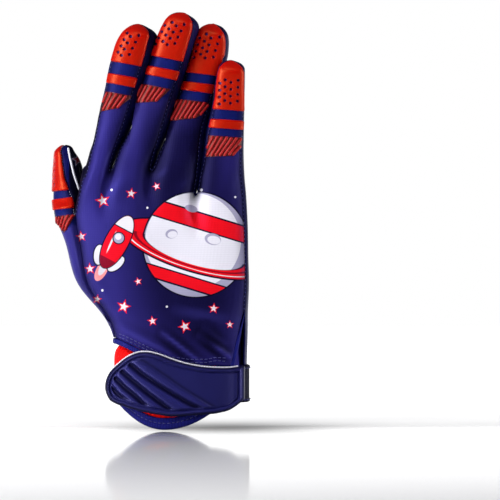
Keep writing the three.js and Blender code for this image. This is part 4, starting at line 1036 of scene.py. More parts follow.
HATCH_PITCH = 2.3
HATCH_BAR = 1.7
HATCH_RISE = 0.95
HATCH_STEP = 0.5
HATCH_SIDES = 8
HATCH_LEAST = 5                 # a bar with no more steps than this is left out
HATCH_FACING = 0.25             # bars end where the cloth turns away from the line of sight
STRAND_END = 0.03               # how far from its end, in half widths, a strand is closed
# finger: the turn from which its hatch is seen, and the slant of its first and last bar, in degrees
HATCH_SIGHT = {
    "index": (0, 64, 40), "middle": (0, 64, 40), "ring": (0, 62, 46), "little": (0, 62, 46),
    "thumb": (20, 66, 56),
}
PAD_THICK = 1.1
BAR_THICK = 1.0
FILM_THICK = 0.3
PAD_LEVELS = {"index": 2, "middle": 2, "ring": 2, "little": 2, "thumb": 1}
BAR_LEVELS = 1
FILM_LEVELS = 1


def strand(path, normals, wide, high, sides):
    """A low rounded bar along a path on a surface, with rounded ends: its points and faces."""
    path = np.array(path)
    normals = np.array(normals)
    along = np.gradient(path, axis=0)
    along /= np.linalg.norm(along, axis=1)[:, None]
    across = np.cross(along, normals)
    across /= np.linalg.norm(across, axis=1)[:, None]
    run = np.concatenate(((0,), np.cumsum(np.linalg.norm(np.diff(path, axis=0), axis=1))))
    to_end = np.minimum(run, run[-1] - run)
    swell = np.sqrt(1 - (1 - np.clip(to_end / (wide / 2), STRAND_END, 1)) ** 2)
    angles = np.arange(sides) / sides * math.tau
    rings = (path[:, None] + across[:, None] * (np.cos(angles)[:, None] * swell[:, None, None] * wide / 2)
             + normals[:, None] * (np.sin(angles)[:, None] * swell[:, None, None] * high))
    faces = []
    for i in range(len(path) - 1):
        for k in range(sides):
            a, b = i * sides + k, i * sides + (k + 1) % sides
            faces.append([a, b, b + sides, a + sides])
    faces.append(list(range(sides))[::-1])
    faces.append([(len(path) - 1) * sides + k for k in range(sides)])
    return rings.reshape(-1, 3), faces


def joined_strands(name, strands):
    """One mesh from many strands, each turned outwards."""
    points = []
    faces = []
    start = 0
    for own, own_faces in strands:
        points.append(own)
        faces += [[v + start for v in face] for face in own_faces]
        start += len(own)
    mesh = bpy.data.meshes.new(name)
    mesh.from_pydata(np.vstack(points) * MM, [], faces)
    bm = bmesh.new()
    bm.from_mesh(mesh)
    bmesh.ops.recalc_face_normals(bm, faces=bm.faces)
    bm.to_mesh(mesh)
    bm.free()
    obj = bpy.data.objects.new(name, mesh)
    bpy.context.scene.collection.objects.link(obj)
    only(obj)
    bpy.ops.object.shade_smooth()
    return obj


def hatch_bars(finger, film):
    """The slanting bars of a patch, laid on its film where a line of sight across it meets it."""
    turn, first_slant, last_slant = (math.radians(angle) for angle in HATCH_SIGHT[finger])
    sight = Vector((math.sin(turn), math.cos(turn), 0))
    side = Vector((math.cos(turn), -math.sin(turn), 0))
    cover = BVHTree.FromObject(film, bpy.context.evaluated_depsgraph_get())
    points = points_of(film)
    flat = points @ np.array(side)
    low, high = points[:, 2].min(), points[:, 2].max()
    rise = high - low
    bars = []
    x = flat.min() - rise / 2
    while x < flat.max():
        share = np.clip((x - flat.min()) / (flat.max() - flat.min()), 0, 1)
        slant = first_slant + (last_slant - first_slant) * share
        run = rise / math.tan(slant)
        path = []
        normals = []
        for t in np.linspace(0, 1, int(rise / math.sin(slant) / HATCH_STEP)):
            start = side * (x + run * t) + Vector((0, 0, low + rise * t)) - sight * FAR
            spot, normal, _, _ = cover.ray_cast(start * MM, sight)
            if spot is None or normal.dot(sight) > -HATCH_FACING:
                if len(path) > HATCH_LEAST:
                    break
                path = []
                normals = []
                continue
            path.append(spot / MM)
            normals.append(normal)
        if len(path) > HATCH_LEAST:
            bars.append(strand(path, normals, HATCH_BAR, HATCH_RISE, HATCH_SIDES))
        x += HATCH_PITCH
    return joined_strands(f"{finger}_hatch_bars", bars)


for finger, (pad_end, bar_top, bar_end, hatch_top, hatch_end, slant) in GRIPS.items():
    pad = raised(cut_from_cloth(finger, -1, pad_end, slant, PAD_LEVELS[finger]), f"{finger}_pad", PAD_THICK,
                 perforation(finger), tip=finger)
    bar = raised(cut_from_cloth(finger, bar_top, bar_end, slant, BAR_LEVELS), f"{finger}_bar", BAR_THICK)
    film = cut_from_cloth(finger, hatch_top, hatch_end + SPARE, slant, FILM_LEVELS, HATCH_FOOT[finger])
    film = raised(film, f"{finger}_hatch", FILM_THICK)
    for piece, node, slot, rubber in ((pad, "grip_pad", "silicone", red_silicone),
                                      (bar, "grip_bar", "silicone", red_silicone),
                                      (film, "hatch_patch", "hatch_print", hatch_film)):
        piece.data.materials.append(rubber)
        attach(piece, "root")
        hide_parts(f"{finger}_{node}")
    bars = hatch_bars(finger, film)
    bars.data.materials.append(hatch_silicone)
    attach(bars, "root")

# Bindings. A strip of the same knit is folded over the raw lower edge of the palm, up one side of the wrist
# slit, and along the back, and is stitched through. It stands a little proud of the cloth.
BINDING_WALL = 1.7
BINDING_ROLL = 0.5
BINDING_ROUND = 1.1
BINDING_BODY = 1.2


def binding_tape(name, code, gloss):
    """Folded knit tape: matt, with fine ribs across it."""
    tape, tree, place = new_material(name)
    turned = add(tree, "ShaderNodeMapping", {"Vector": place, "Rotation": (0, 0, HALF_RIGHT)}).outputs[0]
    ribs = add(tree, "ShaderNodeTexWave", {"Vector": turned, "Scale": WAVE_PERIOD / WALE, "Distortion": 0.8,
               "Detail": 1.0}, bands_direction="X").outputs["Fac"]
    bump = add(tree, "ShaderNodeBump", {"Strength": 1.0, "Distance": 0.1 * MM, "Height": ribs}).outputs[0]
    shade = add(tree, "ShaderNodeMapRange", {0: ribs, 3: 0.85, 4: 1.12}).outputs[0]
    colour = add(tree, "ShaderNodeVectorMath", {0: linear(code)[:3], 3: shade}, operation="SCALE").outputs[0]
    shader = add(tree, "ShaderNodeBsdfPrincipled", {"Base Color": colour, "Roughness": gloss, "IOR": 1.5,
                 "Specular Tint": linear(SHEEN_TINT), "Specular IOR Level": 0.3, "Normal": bump})
    add(tree, "ShaderNodeOutputMaterial", {"Surface": shader.outputs[0]})
    return tape


blue_tape = binding_tape("blue_binding_tape", "#171a66", 0.5)


def rolled_tape(node, name, wall, levels, body):
    """A frame node's outer sheet as a soft strip of tape whose edges roll under."""
    sheet = frame_copy(node)
    peel(sheet, wall)
    to_quads(sheet)
    refine(sheet, levels)
    points = points_of(sheet)
    if node == "palm_binding":
        points[:, 2] -= palm_edge_drop(points)
        set_points(sheet, points)
    normals = normals_of(sheet)
    inward = np.clip(reach_to(border_points(sheet), points) / BINDING_ROUND, 0, 1)
    roll = BINDING_ROLL * (1 - np.sqrt(1 - (1 - inward) ** 2))
    faces = [list(p.vertices) for p in sheet.data.polygons]
    tape = closed_plate(name, points - normals * roll[:, None], points - normals * body, faces)
    bpy.data.objects.remove(sheet)
    tape.data.materials.append(blue_tape)
    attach(tape, "root")
    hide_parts(node)
    return tape


for node, name in (("palm_binding", "palm_edge_tape"), ("back_binding", "back_edge_tape")):
    rolled_tape(node, name, BINDING_WALL, 3, BINDING_BODY)

# Cuff. A red elastic rib knit is sewn inside the panels' lower edges and grips the wrist. Its lip hangs
# lowest in front, and has the blue tape folded round it.
CUFF_WALL = 1.6
RIB_PITCH = 2.2
RIB_RELIEF = 0.25
LIP_RISE = 1.2
DROP_OVER = 20                  # the front hangs with the palm's edge from this height up
LIP_ZONE = 12
SHOULDER_HALF = 36.4
# the cuff narrows at its upper left: height above the palm's edge, half width there
SHOULDER = ((-18, 36.4), (-8, 36.2), (-4, 36.0), (4, 35.7))
SHOULDER_FROM = 22
SHOULDER_OVER = 10
CUFF_TUCK = 1.3                 # how far its top is drawn in under the palm's edge
TUCK_BELOW_EDGE = 3.4
TUCK_FROM = 2
TUCK_OVER = 3
CUFF_BODY = 1.4                 # the knit's own wall
# The lip is an oval. Its tape's fold is given as lift off the knit and height above the lip's edge.
LIP_HALF = 36.5
LIP_DEEP = 23.3
LIP_POWER = 2.4
LIP_LOWEST = (-8.4, -10.8)
LIP_SAG = 14.4
LIP_SPREAD = (26.0, 32.5)       # to the left and to the right
LIP_LEVEL = 4.4
LIP_SOFT = 0.9                  # how sharply the tongue meets the level edge
SIDE_RISE = 3.4                 # the lip is higher at the sides, from here outwards
SIDE_FROM = 14
LIP_FOLD = (
    (0.3, 6.1), (0.75, 5.9), (0.85, 5.3), (0.8, 3.5), (0.4, 3.1), (0.8, 2.7), (0.95, 0.9), (0.85, 0.2),
    (0.4, -0.35), (-0.6, -0.6), (-1.6, -0.35), (-2.1, 0.3), (-2.2, 3.0), (-1.6, 3.4), (-1.4, 1.0),
    (-0.6, 0.4), (0.1, 1.0), (0.1, 5.4),
)
LIP_TURNS = 240


def rib_knit(name, code):
    """Elastic rib knit: matt, with upright ribs, drawn about as wide as real ones."""
    knit, tree, place = new_material(name)
    turned = add(tree, "ShaderNodeMapping", {"Vector": place, "Rotation": (0, 0, HALF_RIGHT)}).outputs[0]
    ribs = add(tree, "ShaderNodeTexWave", {"Vector": turned, "Scale": WAVE_PERIOD / RIB_PITCH,
               "Distortion": 0.3}, bands_direction="X").outputs["Fac"]
    rows = add(tree, "ShaderNodeTexWave", {"Vector": place, "Scale": WAVE_PERIOD / COURSE, "Distortion": 0.3},
               bands_direction="Z").outputs["Fac"]
    relief = add(tree, "ShaderNodeMath", {0: rows, 1: 0.3, 2: ribs}, operation="MULTIPLY_ADD").outputs[0]
    bump = add(tree, "ShaderNodeBump", {"Strength": 0.7, "Distance": RIB_RELIEF * MM,
               "Height": relief}).outputs[0]
    shade = add(tree, "ShaderNodeMapRange", {0: ribs, 3: 0.8, 4: 1.1}).outputs[0]
    colour = add(tree, "ShaderNodeVectorMath", {0: linear(code)[:3], 3: shade}, operation="SCALE").outputs[0]
    shader = add(tree, "ShaderNodeBsdfPrincipled", {"Base Color": colour, "Roughness": 0.6, "IOR": 1.5,
                 "Specular Tint": linear("#ff6a50"), "Specular IOR Level": 0.25, "Normal": bump})
    add(tree, "ShaderNodeOutputMaterial", {"Surface": shader.outputs[0]})
    return knit


red_rib_knit = rib_knit("red_rib_knit", "#f00c10")
sheet = frame_copy("cuff")
peel(sheet, CUFF_WALL)
to_quads(sheet)
refine(sheet, 3)
points = points_of(sheet)
points[:, 2] -= palm_edge_drop(points) * eased(points[:, 2] / DROP_OVER)
points[:, 2] += LIP_RISE * eased(-points[:, 2] / LIP_ZONE)
outer = eased((np.abs(points[:, 0] - LIP_LOWEST[0]) - SIDE_FROM) / LIP_ZONE)
points[:, 2] += SIDE_RISE * eased((LIP_ZONE - points[:, 2]) / LIP_ZONE) * outer
above = points[:, 2] - EDGE_Z[0]
short = SHOULDER_HALF - np.interp(above, *zip(*SHOULDER))
short *= eased((-points[:, 0] - SHOULDER_FROM) / SHOULDER_OVER) * eased((1 - above) / 2)
points[:, 0] -= short * (above > SHOULDER[0][0])
set_points(sheet, points)
normals = normals_of(sheet)
hem = hanging_edge(points[:, 0]) - TUCK_BELOW_EDGE
tuck = CUFF_TUCK * eased((points[:, 2] - hem + TUCK_FROM) / TUCK_OVER)
tuck *= eased((FRONT_Y - points[:, 1]) / FRONT_OVER)
points[:, 1] += tuck * np.clip(-normals[:, 1], 0, 1)
faces = [list(p.vertices) for p in sheet.data.polygons]
cuff = closed_plate("cuff_knit", points, points - normals * CUFF_BODY, faces)
bpy.data.objects.remove(sheet)
cuff.data.materials.append(red_rib_knit)
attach(cuff, "root")
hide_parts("cuff")


def lip_edge(x, y):
    """The height of the lip's lower edge: a tongue in front, level behind."""
    away = x - LIP_LOWEST[0]
    tongue = LIP_LOWEST[1] + LIP_SAG * np.abs(away / np.where(away < 0, *LIP_SPREAD)) ** 2.0
    soft = LIP_LEVEL - np.log1p(np.exp((LIP_LEVEL - tongue) * LIP_SOFT)) / LIP_SOFT
    return np.where(y < 0, soft, LIP_LEVEL)


def on_lip(turns, lift, above):
    """Points on the cuff's oval, at a lift off it and a height above the lip's edge."""
    c, s = np.cos(turns), np.sin(turns)
    x = (LIP_HALF + lift) * np.sign(c) * np.abs(c) ** (2 / LIP_POWER)
    y = (LIP_DEEP + lift) * np.sign(s) * np.abs(s) ** (2 / LIP_POWER)
    return np.stack((x, y, lip_edge(x, y) + above), axis=-1)


turns = np.arange(LIP_TURNS) / LIP_TURNS * math.tau
rings = np.array([on_lip(turns, lift, above) for lift, above in LIP_FOLD])
faces = []
for i in range(len(LIP_FOLD)):
    for j in range(LIP_TURNS):
        a, b = (i + 1) % len(LIP_FOLD), (j + 1) % LIP_TURNS
        faces.append([i * LIP_TURNS + j, a * LIP_TURNS + j, a * LIP_TURNS + b, i * LIP_TURNS + b])
lip = joined_strands("cuff_lip_tape", [(rings.reshape(-1, 3), faces)])
lip.data.materials.append(blue_tape)
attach(lip, "root")
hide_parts("cuff_hem")

# Slit gusset. Behind the wrist slit a strip of plain violet knit is sewn in, so that the glove opens wide
# for the hand without baring the wrist. It lies just inside the panels and the cuff.
SLIT_TURNS = (-58, 4)           # its ends round the wrist, in degrees
SLIT_HEIGHTS = (21, 52)
SLIT_LIFT = (-0.5, -3.6)        # at its foot and at its top
SLIT_COLUMNS = 60
SLIT_ROWS = 30
turns = np.repeat(np.radians(np.linspace(*SLIT_TURNS, SLIT_COLUMNS)), SLIT_ROWS)
lift = np.tile(np.linspace(*SLIT_LIFT, SLIT_ROWS), SLIT_COLUMNS)
behind = on_lip(turns, lift, 0)
behind[:, 2] = np.tile(np.linspace(*SLIT_HEIGHTS, SLIT_ROWS), SLIT_COLUMNS)
under = on_lip(turns, lift - FABRIC_WALL, 0)
under[:, 2] = behind[:, 2]
faces = [[i * SLIT_ROWS + j, (i + 1) * SLIT_ROWS + j, (i + 1) * SLIT_ROWS + j + 1, i * SLIT_ROWS + j + 1]
         for i in range(SLIT_COLUMNS - 1) for j in range(SLIT_ROWS - 1)]
gusset = closed_plate("slit_gusset_fabric", behind, under, faces)
gusset.data.materials.append(CLOTHS["violet"])
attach(gusset, "root")
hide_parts("slit_gusset")

# Strap tab. One piece of dark blue thermoplastic rubber, moulded with a raised border, a groove inside it and
# five broad ribs that run down to the right. It closes over the front of the cuff, its left end free.
STRAP_HALF_LEFT = 45.5
STRAP_HALF_RIGHT = 37.2
STRAP_DEEP = 24.3
STRAP_POWER = 2.7
TAB_TIP = (-41.4, 12.4)
# x, top, bottom of the tab's outline
TAB = (
    (-40.9, 16.0, 9.1), (-40.2, 18.0, 7.5), (-38.6, 20.8, 5.0), (-36.6, 23.0, 3.7), (-34.0, 25.2, 2.6),
    (-31.0, 27.7, 1.8), (-27.4, 29.9, 0.7), (-21.8, 31.8, -0.9), (-16.8, 31.8, -1.9), (-11.0, 30.4, -2.9),
    (-5.0, 28.2, -3.8), (1.0, 26.2, -3.7), (8.0, 24.5, -3.1), (15.0, 23.5, -2.7), (22.0, 23.1, -1.9),
    (29.0, 23.2, 0.2), (33.4, 23.7, 3.2), (36.4, 24.0, 5.7),
)
TAB_OVER_BAND = 1.1             # how far the tab's right end is lifted by the band under it
OVER_BAND_FROM = 30
OVER_BAND_OVER = 4
TAB_BORDER_END = 35.6
TAB_SEAT = 1.5
TAB_FIELD = 1.9
TAB_BORDER = 2.6
BORDER_AT = 1.7
BORDER_WIDTH = 0.7
GROOVE = 0.5
GROOVE_WIDTH = 0.45
FIELD_OVER = 1.2                # the ribs begin over this width inside the groove
TAB_EDGE_ROUND = 1.2
TAB_COLUMNS = 210
TAB_ROWS = 84
# the upper side of the first rib, and the grooves below it, as x and z
RIB_TOP = (
    (-24.0, 29.0), (-19.2, 26.6), (-6.6, 18.2), (0.4, 13.2), (6.0, 9.6), (15.9, 3.4), (23.0, -0.8),
    (27.0, -3.4),
)
RIB_GROOVES = (
    ((-31.0, 28.5), (-27.3, 25.2), (-20.1, 19.3), (-11.7, 13.7), (-2.9, 8.2), (4.9, 3.7), (12.6, -0.1),
     (18.0, -2.8)),
    ((-35.0, 24.5), (-31.7, 21.1), (-25.1, 15.4), (-18.4, 9.9), (-11.7, 4.8), (-5.1, -0.1), (-1.0, -3.0)),
    ((-40.0, 22.0), (-35.9, 17.6), (-30.1, 12.0), (-24.5, 7.6), (-18.4, 2.0), (-15.0, -1.0)),
    ((-43.0, 17.5), (-38.1, 12.6), (-34.5, 8.7), (-29.5, 4.8), (-26.0, 2.2)),
)
RIB_RISE = 1.0
RIB_SLOPE = 1.6
RIB_GROOVE = 2.4
RIB_GROOVE_WIDTH = 1.25
RIB_ROUND = 2.6                 # the crests' own roundness reaches this far from a groove
RIB_SHARP = 0.75                # share of a groove's depth that is sharp, the rest is roundness
# Painted shade darkens the grooves, and a painted gleam pales the crests.
GROOVE_SHADE = 0.8
FOOT_SHADE = 0.5                # painted shade along the upper side of the first rib
FOOT_ABOVE = 0.4
FOOT_WIDTH = 0.9
PAINTED_CREST_GLEAM = 0.35              # a painted gleam pales the crests, between these distances from a groove
GLEAM_FROM = 1.2
GLEAM_TO = 5.2
GLEAM_OVER = (1.4, 2)
EDGE_SHADE = 0.72               # painted shade darkens the tab's rim, and broader so at its left end
LEFT_EDGE_WIDTH = 2.0
LEFT_EDGE_TO = -28
LEFT_EDGE_OVER = 8


def through(knots, values, at):
    """A smooth curve through values at knots, read at other places."""
    slopes = np.gradient(values, knots)
    index = np.clip(np.searchsorted(knots, at) - 1, 0, len(knots) - 2)
    span = knots[index + 1] - knots[index]
    t = (at - knots[index]) / span
    return ((2 * t ** 3 - 3 * t ** 2 + 1) * values[index] + (t ** 3 - 2 * t ** 2 + t) * span * slopes[index]
            + (3 * t ** 2 - 2 * t ** 3) * values[index + 1] + (t ** 3 - t ** 2) * span * slopes[index + 1])


def on_strap(x, z, lift):
    """Points of the strap's curve round the wrist, lifted off it."""
    half = np.where(x < 0, STRAP_HALF_LEFT, STRAP_HALF_RIGHT) + lift
    y = -(STRAP_DEEP + lift) * (1 - np.clip(np.abs(x) / half, 0, 1) ** STRAP_POWER) ** (1 / STRAP_POWER)
    return np.stack((x, y, z), axis=-1)


def grid_faces(columns, rows):
    """Quads of a grid of points kept column by column, facing the side that the palm faces."""
    return [[i * rows + j, (i + 1) * rows + j, (i + 1) * rows + j + 1, i * rows + j + 1]
            for i in range(columns - 1) for j in range(rows - 1)]


knots = np.sqrt(np.array([0] + [row[0] - TAB_TIP[0] for row in TAB]))
tops = np.array([TAB_TIP[1]] + [row[1] for row in TAB])
bottoms = np.array([TAB_TIP[1]] + [row[2] for row in TAB])
reach = np.linspace(0, knots[-1], TAB_COLUMNS)
tab_x = TAB_TIP[0] + reach ** 2
tab_top = through(knots, tops, reach)
tab_bottom = through(knots, bottoms, reach)
share = (1 - np.cos(np.linspace(0, np.pi, TAB_ROWS))) / 2
grid_x = np.repeat(tab_x, TAB_ROWS).reshape(TAB_COLUMNS, TAB_ROWS)
grid_z = tab_bottom[:, None] + (tab_top - tab_bottom)[:, None] * share
outline = np.vstack((np.stack((tab_x, tab_top), 1), np.stack((tab_x, tab_bottom), 1)))
flat = np.stack((grid_x.ravel(), grid_z.ravel()), 1)
edge = reach_to(np.insert(outline, 1, 0, axis=1), np.insert(flat, 1, 0, axis=1))
edge = np.minimum(edge, np.abs(tab_x[-1] - flat[:, 0]))
inner_edge = np.minimum(edge, np.abs(TAB_BORDER_END - flat[:, 0]) + (flat[:, 0] > TAB_BORDER_END) * FAR)
lift = TAB_FIELD + (TAB_BORDER - TAB_FIELD) * np.exp(-((inner_edge - BORDER_AT) / BORDER_WIDTH) ** 2)
lift -= GROOVE * np.exp(-((inner_edge - BORDER_AT - BORDER_WIDTH - GROOVE_WIDTH) / GROOVE_WIDTH) ** 2)
lift -= TAB_EDGE_ROUND * (1 - np.sqrt(1 - (1 - np.clip(edge / TAB_EDGE_ROUND, 0, 1)) ** 2))
inside = eased((inner_edge - BORDER_AT - BORDER_WIDTH - 2 * GROOVE_WIDTH) / FIELD_OVER)
upper = np.interp(flat[:, 0], *zip(*RIB_TOP))
inside_ribs = inside * (flat[:, 0] < RIB_TOP[-1][0])
lift += RIB_RISE * inside_ribs * eased((upper - flat[:, 1]) / RIB_SLOPE)
at_left = eased((LEFT_EDGE_TO - flat[:, 0]) / LEFT_EDGE_OVER)
edge_width = TAB_EDGE_ROUND + (LEFT_EDGE_WIDTH - TAB_EDGE_ROUND) * at_left
# painted shade along the tab's rim
shade = EDGE_SHADE * np.exp(-(edge / edge_width) ** 4)
ribbed = inside_ribs * eased((upper - flat[:, 1] - RIB_SLOPE / 2) / RIB_SLOPE)
nearest = np.full(len(flat), FAR)
for groove in RIB_GROOVES:
    away = np.full(len(flat), FAR)
    for (x0, z0), (x1, z1) in zip(groove, groove[1:]):
        away = np.minimum(away, along_line(np.insert(flat, 1, 0, axis=1), x0, z0, x1, z1)[0])
    sharp = np.exp(-(away / RIB_GROOVE_WIDTH) ** 2)
    lift -= RIB_GROOVE * inside * (RIB_SHARP * sharp + (1 - RIB_SHARP) * np.exp(-(away / RIB_ROUND) ** 2))
    shade = np.maximum(shade, GROOVE_SHADE * inside * sharp)
    nearest = np.minimum(nearest, away)
foot = np.exp(-((upper - flat[:, 1] + FOOT_ABOVE) / FOOT_WIDTH) ** 2)
shade = np.maximum(shade, FOOT_SHADE * inside_ribs * foot)
gleam = eased((nearest - GLEAM_FROM) / GLEAM_OVER[0]) * eased((GLEAM_TO - nearest) / GLEAM_OVER[1])
shade -= PAINTED_CREST_GLEAM * ribbed * gleam
seat = TAB_SEAT + TAB_OVER_BAND * eased((flat[:, 0] - OVER_BAND_FROM) / OVER_BAND_OVER)
top = on_strap(flat[:, 0], flat[:, 1], seat + lift)
under = on_strap(flat[:, 0], flat[:, 1], seat)
tab = closed_plate("strap_tab_rubber", top, under, grid_faces(TAB_COLUMNS, TAB_ROWS))
# the tab's painted shade and gleam, read by its material
mark(tab, "shade", np.concatenate((shade, shade)))


def strap_rubber(name, code):
    """Moulded thermoplastic rubber: an even satin skin with a fine spark-eroded grain, and painted shade and
    gleam.
    """
    rubber, tree, place = new_material(name)
    grain = add(tree, "ShaderNodeTexNoise", {"Vector": place, "Scale": 2.2, "Detail": 3.0}).outputs["Fac"]
    bump = add(tree, "ShaderNodeBump", {"Strength": 1.0, "Distance": 0.03 * MM, "Height": grain}).outputs[0]
    cloud = add(tree, "ShaderNodeTexNoise", {"Vector": place, "Scale": 0.08, "Detail": 2.0}).outputs["Fac"]
    even = add(tree, "ShaderNodeMapRange", {0: cloud, 3: 0.85, 4: 1.15}).outputs[0]
    painted_shade_and_gleam = add(tree, "ShaderNodeAttribute", attribute_name="shade").outputs["Fac"]
    kept = add(tree, "ShaderNodeMath", {0: 1.0, 1: painted_shade_and_gleam}, operation="SUBTRACT").outputs[0]
    shade = add(tree, "ShaderNodeMath", {0: even, 1: kept}, operation="MULTIPLY").outputs[0]
    colour = add(tree, "ShaderNodeVectorMath", {0: linear(code)[:3], 3: shade}, operation="SCALE").outputs[0]
    shader = add(tree, "ShaderNodeBsdfPrincipled", {"Base Color": colour, "Roughness": 0.38, "IOR": 1.5,
                 "Specular Tint": linear("#9a96f0"), "Normal": bump})
    add(tree, "ShaderNodeOutputMaterial", {"Surface": shader.outputs[0]})
    return rubber


tab.data.materials.append(strap_rubber("navy_strap_rubber", "#191950"))
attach(tab, "root")
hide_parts("strap_tab")

# Strap backing and band. The tab is welded to a pale nylon hook strip, whose edge shows along its top, and to
# a dark woven band with bound edges that goes round the little-finger side to the back of the wrist.
BACKING_FROM = -37.5
BACKING_TO = 32.6
BACKING_LIFT = 0.4
BACKING_THICK = 0.8
BACKING_INSET = 1.5
BACKING_SHOWS = 0.7
BACKING_COLUMNS = 140
BACKING_ROWS = 24
BAND_ANGLES = (-31, 112)
BAND_THICK = 1.4
BAND_LIFT = 0.6
BAND_START = (3.6, 23.8)
BAND_END = (4.5, 25.5)
BAND_COLUMNS = 130
BAND_ROWS = 44
BAND_EDGE = 1.8                 # width of its bound edges, and how much they rise
BAND_HEM = 0.3
BAND_ROUND = 0.5


def woven_nylon(name, code, pitch, gloss, glint):
    """Woven or looped nylon: fine crossed threads, drawn coarser than real so that they show."""
    cloth, tree, place = new_material(name)
    turned = add(tree, "ShaderNodeMapping", {"Vector": place, "Rotation": (0, 0, HALF_RIGHT)}).outputs[0]
    warp = add(tree, "ShaderNodeTexWave", {"Vector": turned, "Scale": WAVE_PERIOD / pitch, "Distortion": 0.6},
               bands_direction="X").outputs["Fac"]
    weft = add(tree, "ShaderNodeTexWave", {"Vector": place, "Scale": WAVE_PERIOD / pitch, "Distortion": 0.6},
               bands_direction="Z").outputs["Fac"]
    weave = add(tree, "ShaderNodeMath", {0: warp, 1: weft}, operation="MULTIPLY").outputs[0]
    bump = add(tree, "ShaderNodeBump", {"Strength": 1.0, "Distance": 0.12 * MM, "Height": weave}).outputs[0]
    shade = add(tree, "ShaderNodeMapRange", {0: weave, 3: 0.8, 4: 1.2}).outputs[0]
    colour = add(tree, "ShaderNodeVectorMath", {0: linear(code)[:3], 3: shade}, operation="SCALE").outputs[0]
    shader = add(tree, "ShaderNodeBsdfPrincipled", {"Base Color": colour, "Roughness": gloss, "IOR": 1.53,
                 "Specular IOR Level": 0.2, "Specular Tint": linear(glint), "Normal": bump})
    add(tree, "ShaderNodeOutputMaterial", {"Surface": shader.outputs[0]})
    return cloth


x = np.linspace(BACKING_FROM, BACKING_TO, BACKING_COLUMNS)
low = np.interp(x, tab_x, tab_bottom) + BACKING_INSET
high = np.interp(x, tab_x, tab_top) + BACKING_SHOWS
z = low[:, None] + (high - low)[:, None] * np.linspace(0, 1, BACKING_ROWS)
x = np.repeat(x, BACKING_ROWS)
z = z.ravel()
over = on_strap(x, z, np.full(len(x), BACKING_LIFT + BACKING_THICK))
under = on_strap(x, z, np.full(len(x), BACKING_LIFT))
backing = closed_plate("strap_hook_strip", over, under, grid_faces(BACKING_COLUMNS, BACKING_ROWS))
backing.data.materials.append(woven_nylon("pale_nylon_hook", "#f2f0ff", 0.9, 0.6, "#ffffff"))
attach(backing, "root")
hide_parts("strap_backing")

angles = np.radians(np.linspace(*BAND_ANGLES, BAND_COLUMNS))
along = np.linspace(0, 1, BAND_COLUMNS)
low = BAND_START[0] + (BAND_END[0] - BAND_START[0]) * along
high = BAND_START[1] + (BAND_END[1] - BAND_START[1]) * along
share = np.linspace(0, 1, BAND_ROWS)
z = (low[:, None] + (high - low)[:, None] * share).ravel()
edge = np.minimum(share * (high - low).mean(), (1 - share) * (high - low).mean())
bound = BAND_HEM * np.clip((BAND_EDGE - edge) / BAND_HEM, 0, 1)
bound -= BAND_ROUND * (1 - np.sqrt(1 - (1 - np.clip(edge / BAND_ROUND, 0, 1)) ** 2))
bound = np.tile(bound, BAND_COLUMNS)
angles = np.repeat(angles, BAND_ROWS)


def on_band(turns, z, lift):
    """Points of the band's oval round the wrist, at a lift off its inner face."""
    c, s = np.cos(turns), np.sin(turns)
    half = STRAP_HALF_RIGHT + BAND_LIFT + lift
    deep = STRAP_DEEP + BAND_LIFT + lift
    return np.stack((half * np.sign(c) * np.abs(c) ** (2 / STRAP_POWER),
                     deep * np.sign(s) * np.abs(s) ** (2 / STRAP_POWER), z), axis=-1)


band = closed_plate("strap_woven_band", on_band(angles, z, BAND_THICK - BAND_HEM + bound),
                    on_band(angles, z, 0 * bound), grid_faces(BAND_COLUMNS, BAND_ROWS))
band.data.materials.append(woven_nylon("navy_woven_band", "#05061a", 1.3, 0.6, SHEEN_TINT))
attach(band, "root")
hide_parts("strap_band")

# Threads. Bonded polyester thread glints in the finger seams. It runs in two rows above the palm's binding,
# along the lip's tape and along both edges of the band, and makes a pale dotted line beside the thumb's pad.
# A white cord is sewn up the thumb's side.
THREAD = 0.42                   # a real one is about 0.25 mm thick, which wouldn't show
THREAD_SIDES = 6
STITCH_LIFT = 0.12
STITCH_HIGH = 0.7               # a stitch is lower than wide
SEAM_STITCH = (2.3, 0.9)        # pitch and length
ROW_STITCH = (2.6, 1.9)
DOTS = (1.6, 0.8)
ROWS_ABOVE_BINDING = (1.5, 3.3)
ROW_ENDS = (-34.5, 27)
ROW_STEPS = 200
LIP_ROW = (0.45, 3.1)           # its lift off the knit and its height above the lip's edge
DOTS_LIFT = 0.3
PIPING = 1.3
PIPING_LINE = ((-63.4, 147.6), (-62.9, 145.0), (-61.9, 140.0), (-59.6, 130.5), (-56.4, 121.0), (-55.4, 118.5))
PIPING_STEPS = 60
PIPING_SIDES = 8
BAND_ROW_INSET = 1.3
JUMP = 2.5                      # a laid row ends where the next point is farther off than this


def thread(name, code):
    """Bonded polyester thread: a smooth, slightly shiny strand."""
    strand_of, tree, place = new_material(name)
    fibres = add(tree, "ShaderNodeTexNoise", {"Vector": place, "Scale": 4.0, "Detail": 2.0}).outputs["Fac"]
    bump = add(tree, "ShaderNodeBump", {"Strength": 1.0, "Distance": 0.05 * MM, "Height": fibres}).outputs[0]
    shader = add(tree, "ShaderNodeBsdfPrincipled", {"Base Color": linear(code), "Roughness": 0.4, "IOR": 1.55,
                 "Normal": bump})
    add(tree, "ShaderNodeOutputMaterial", {"Surface": shader.outputs[0]})
    return strand_of


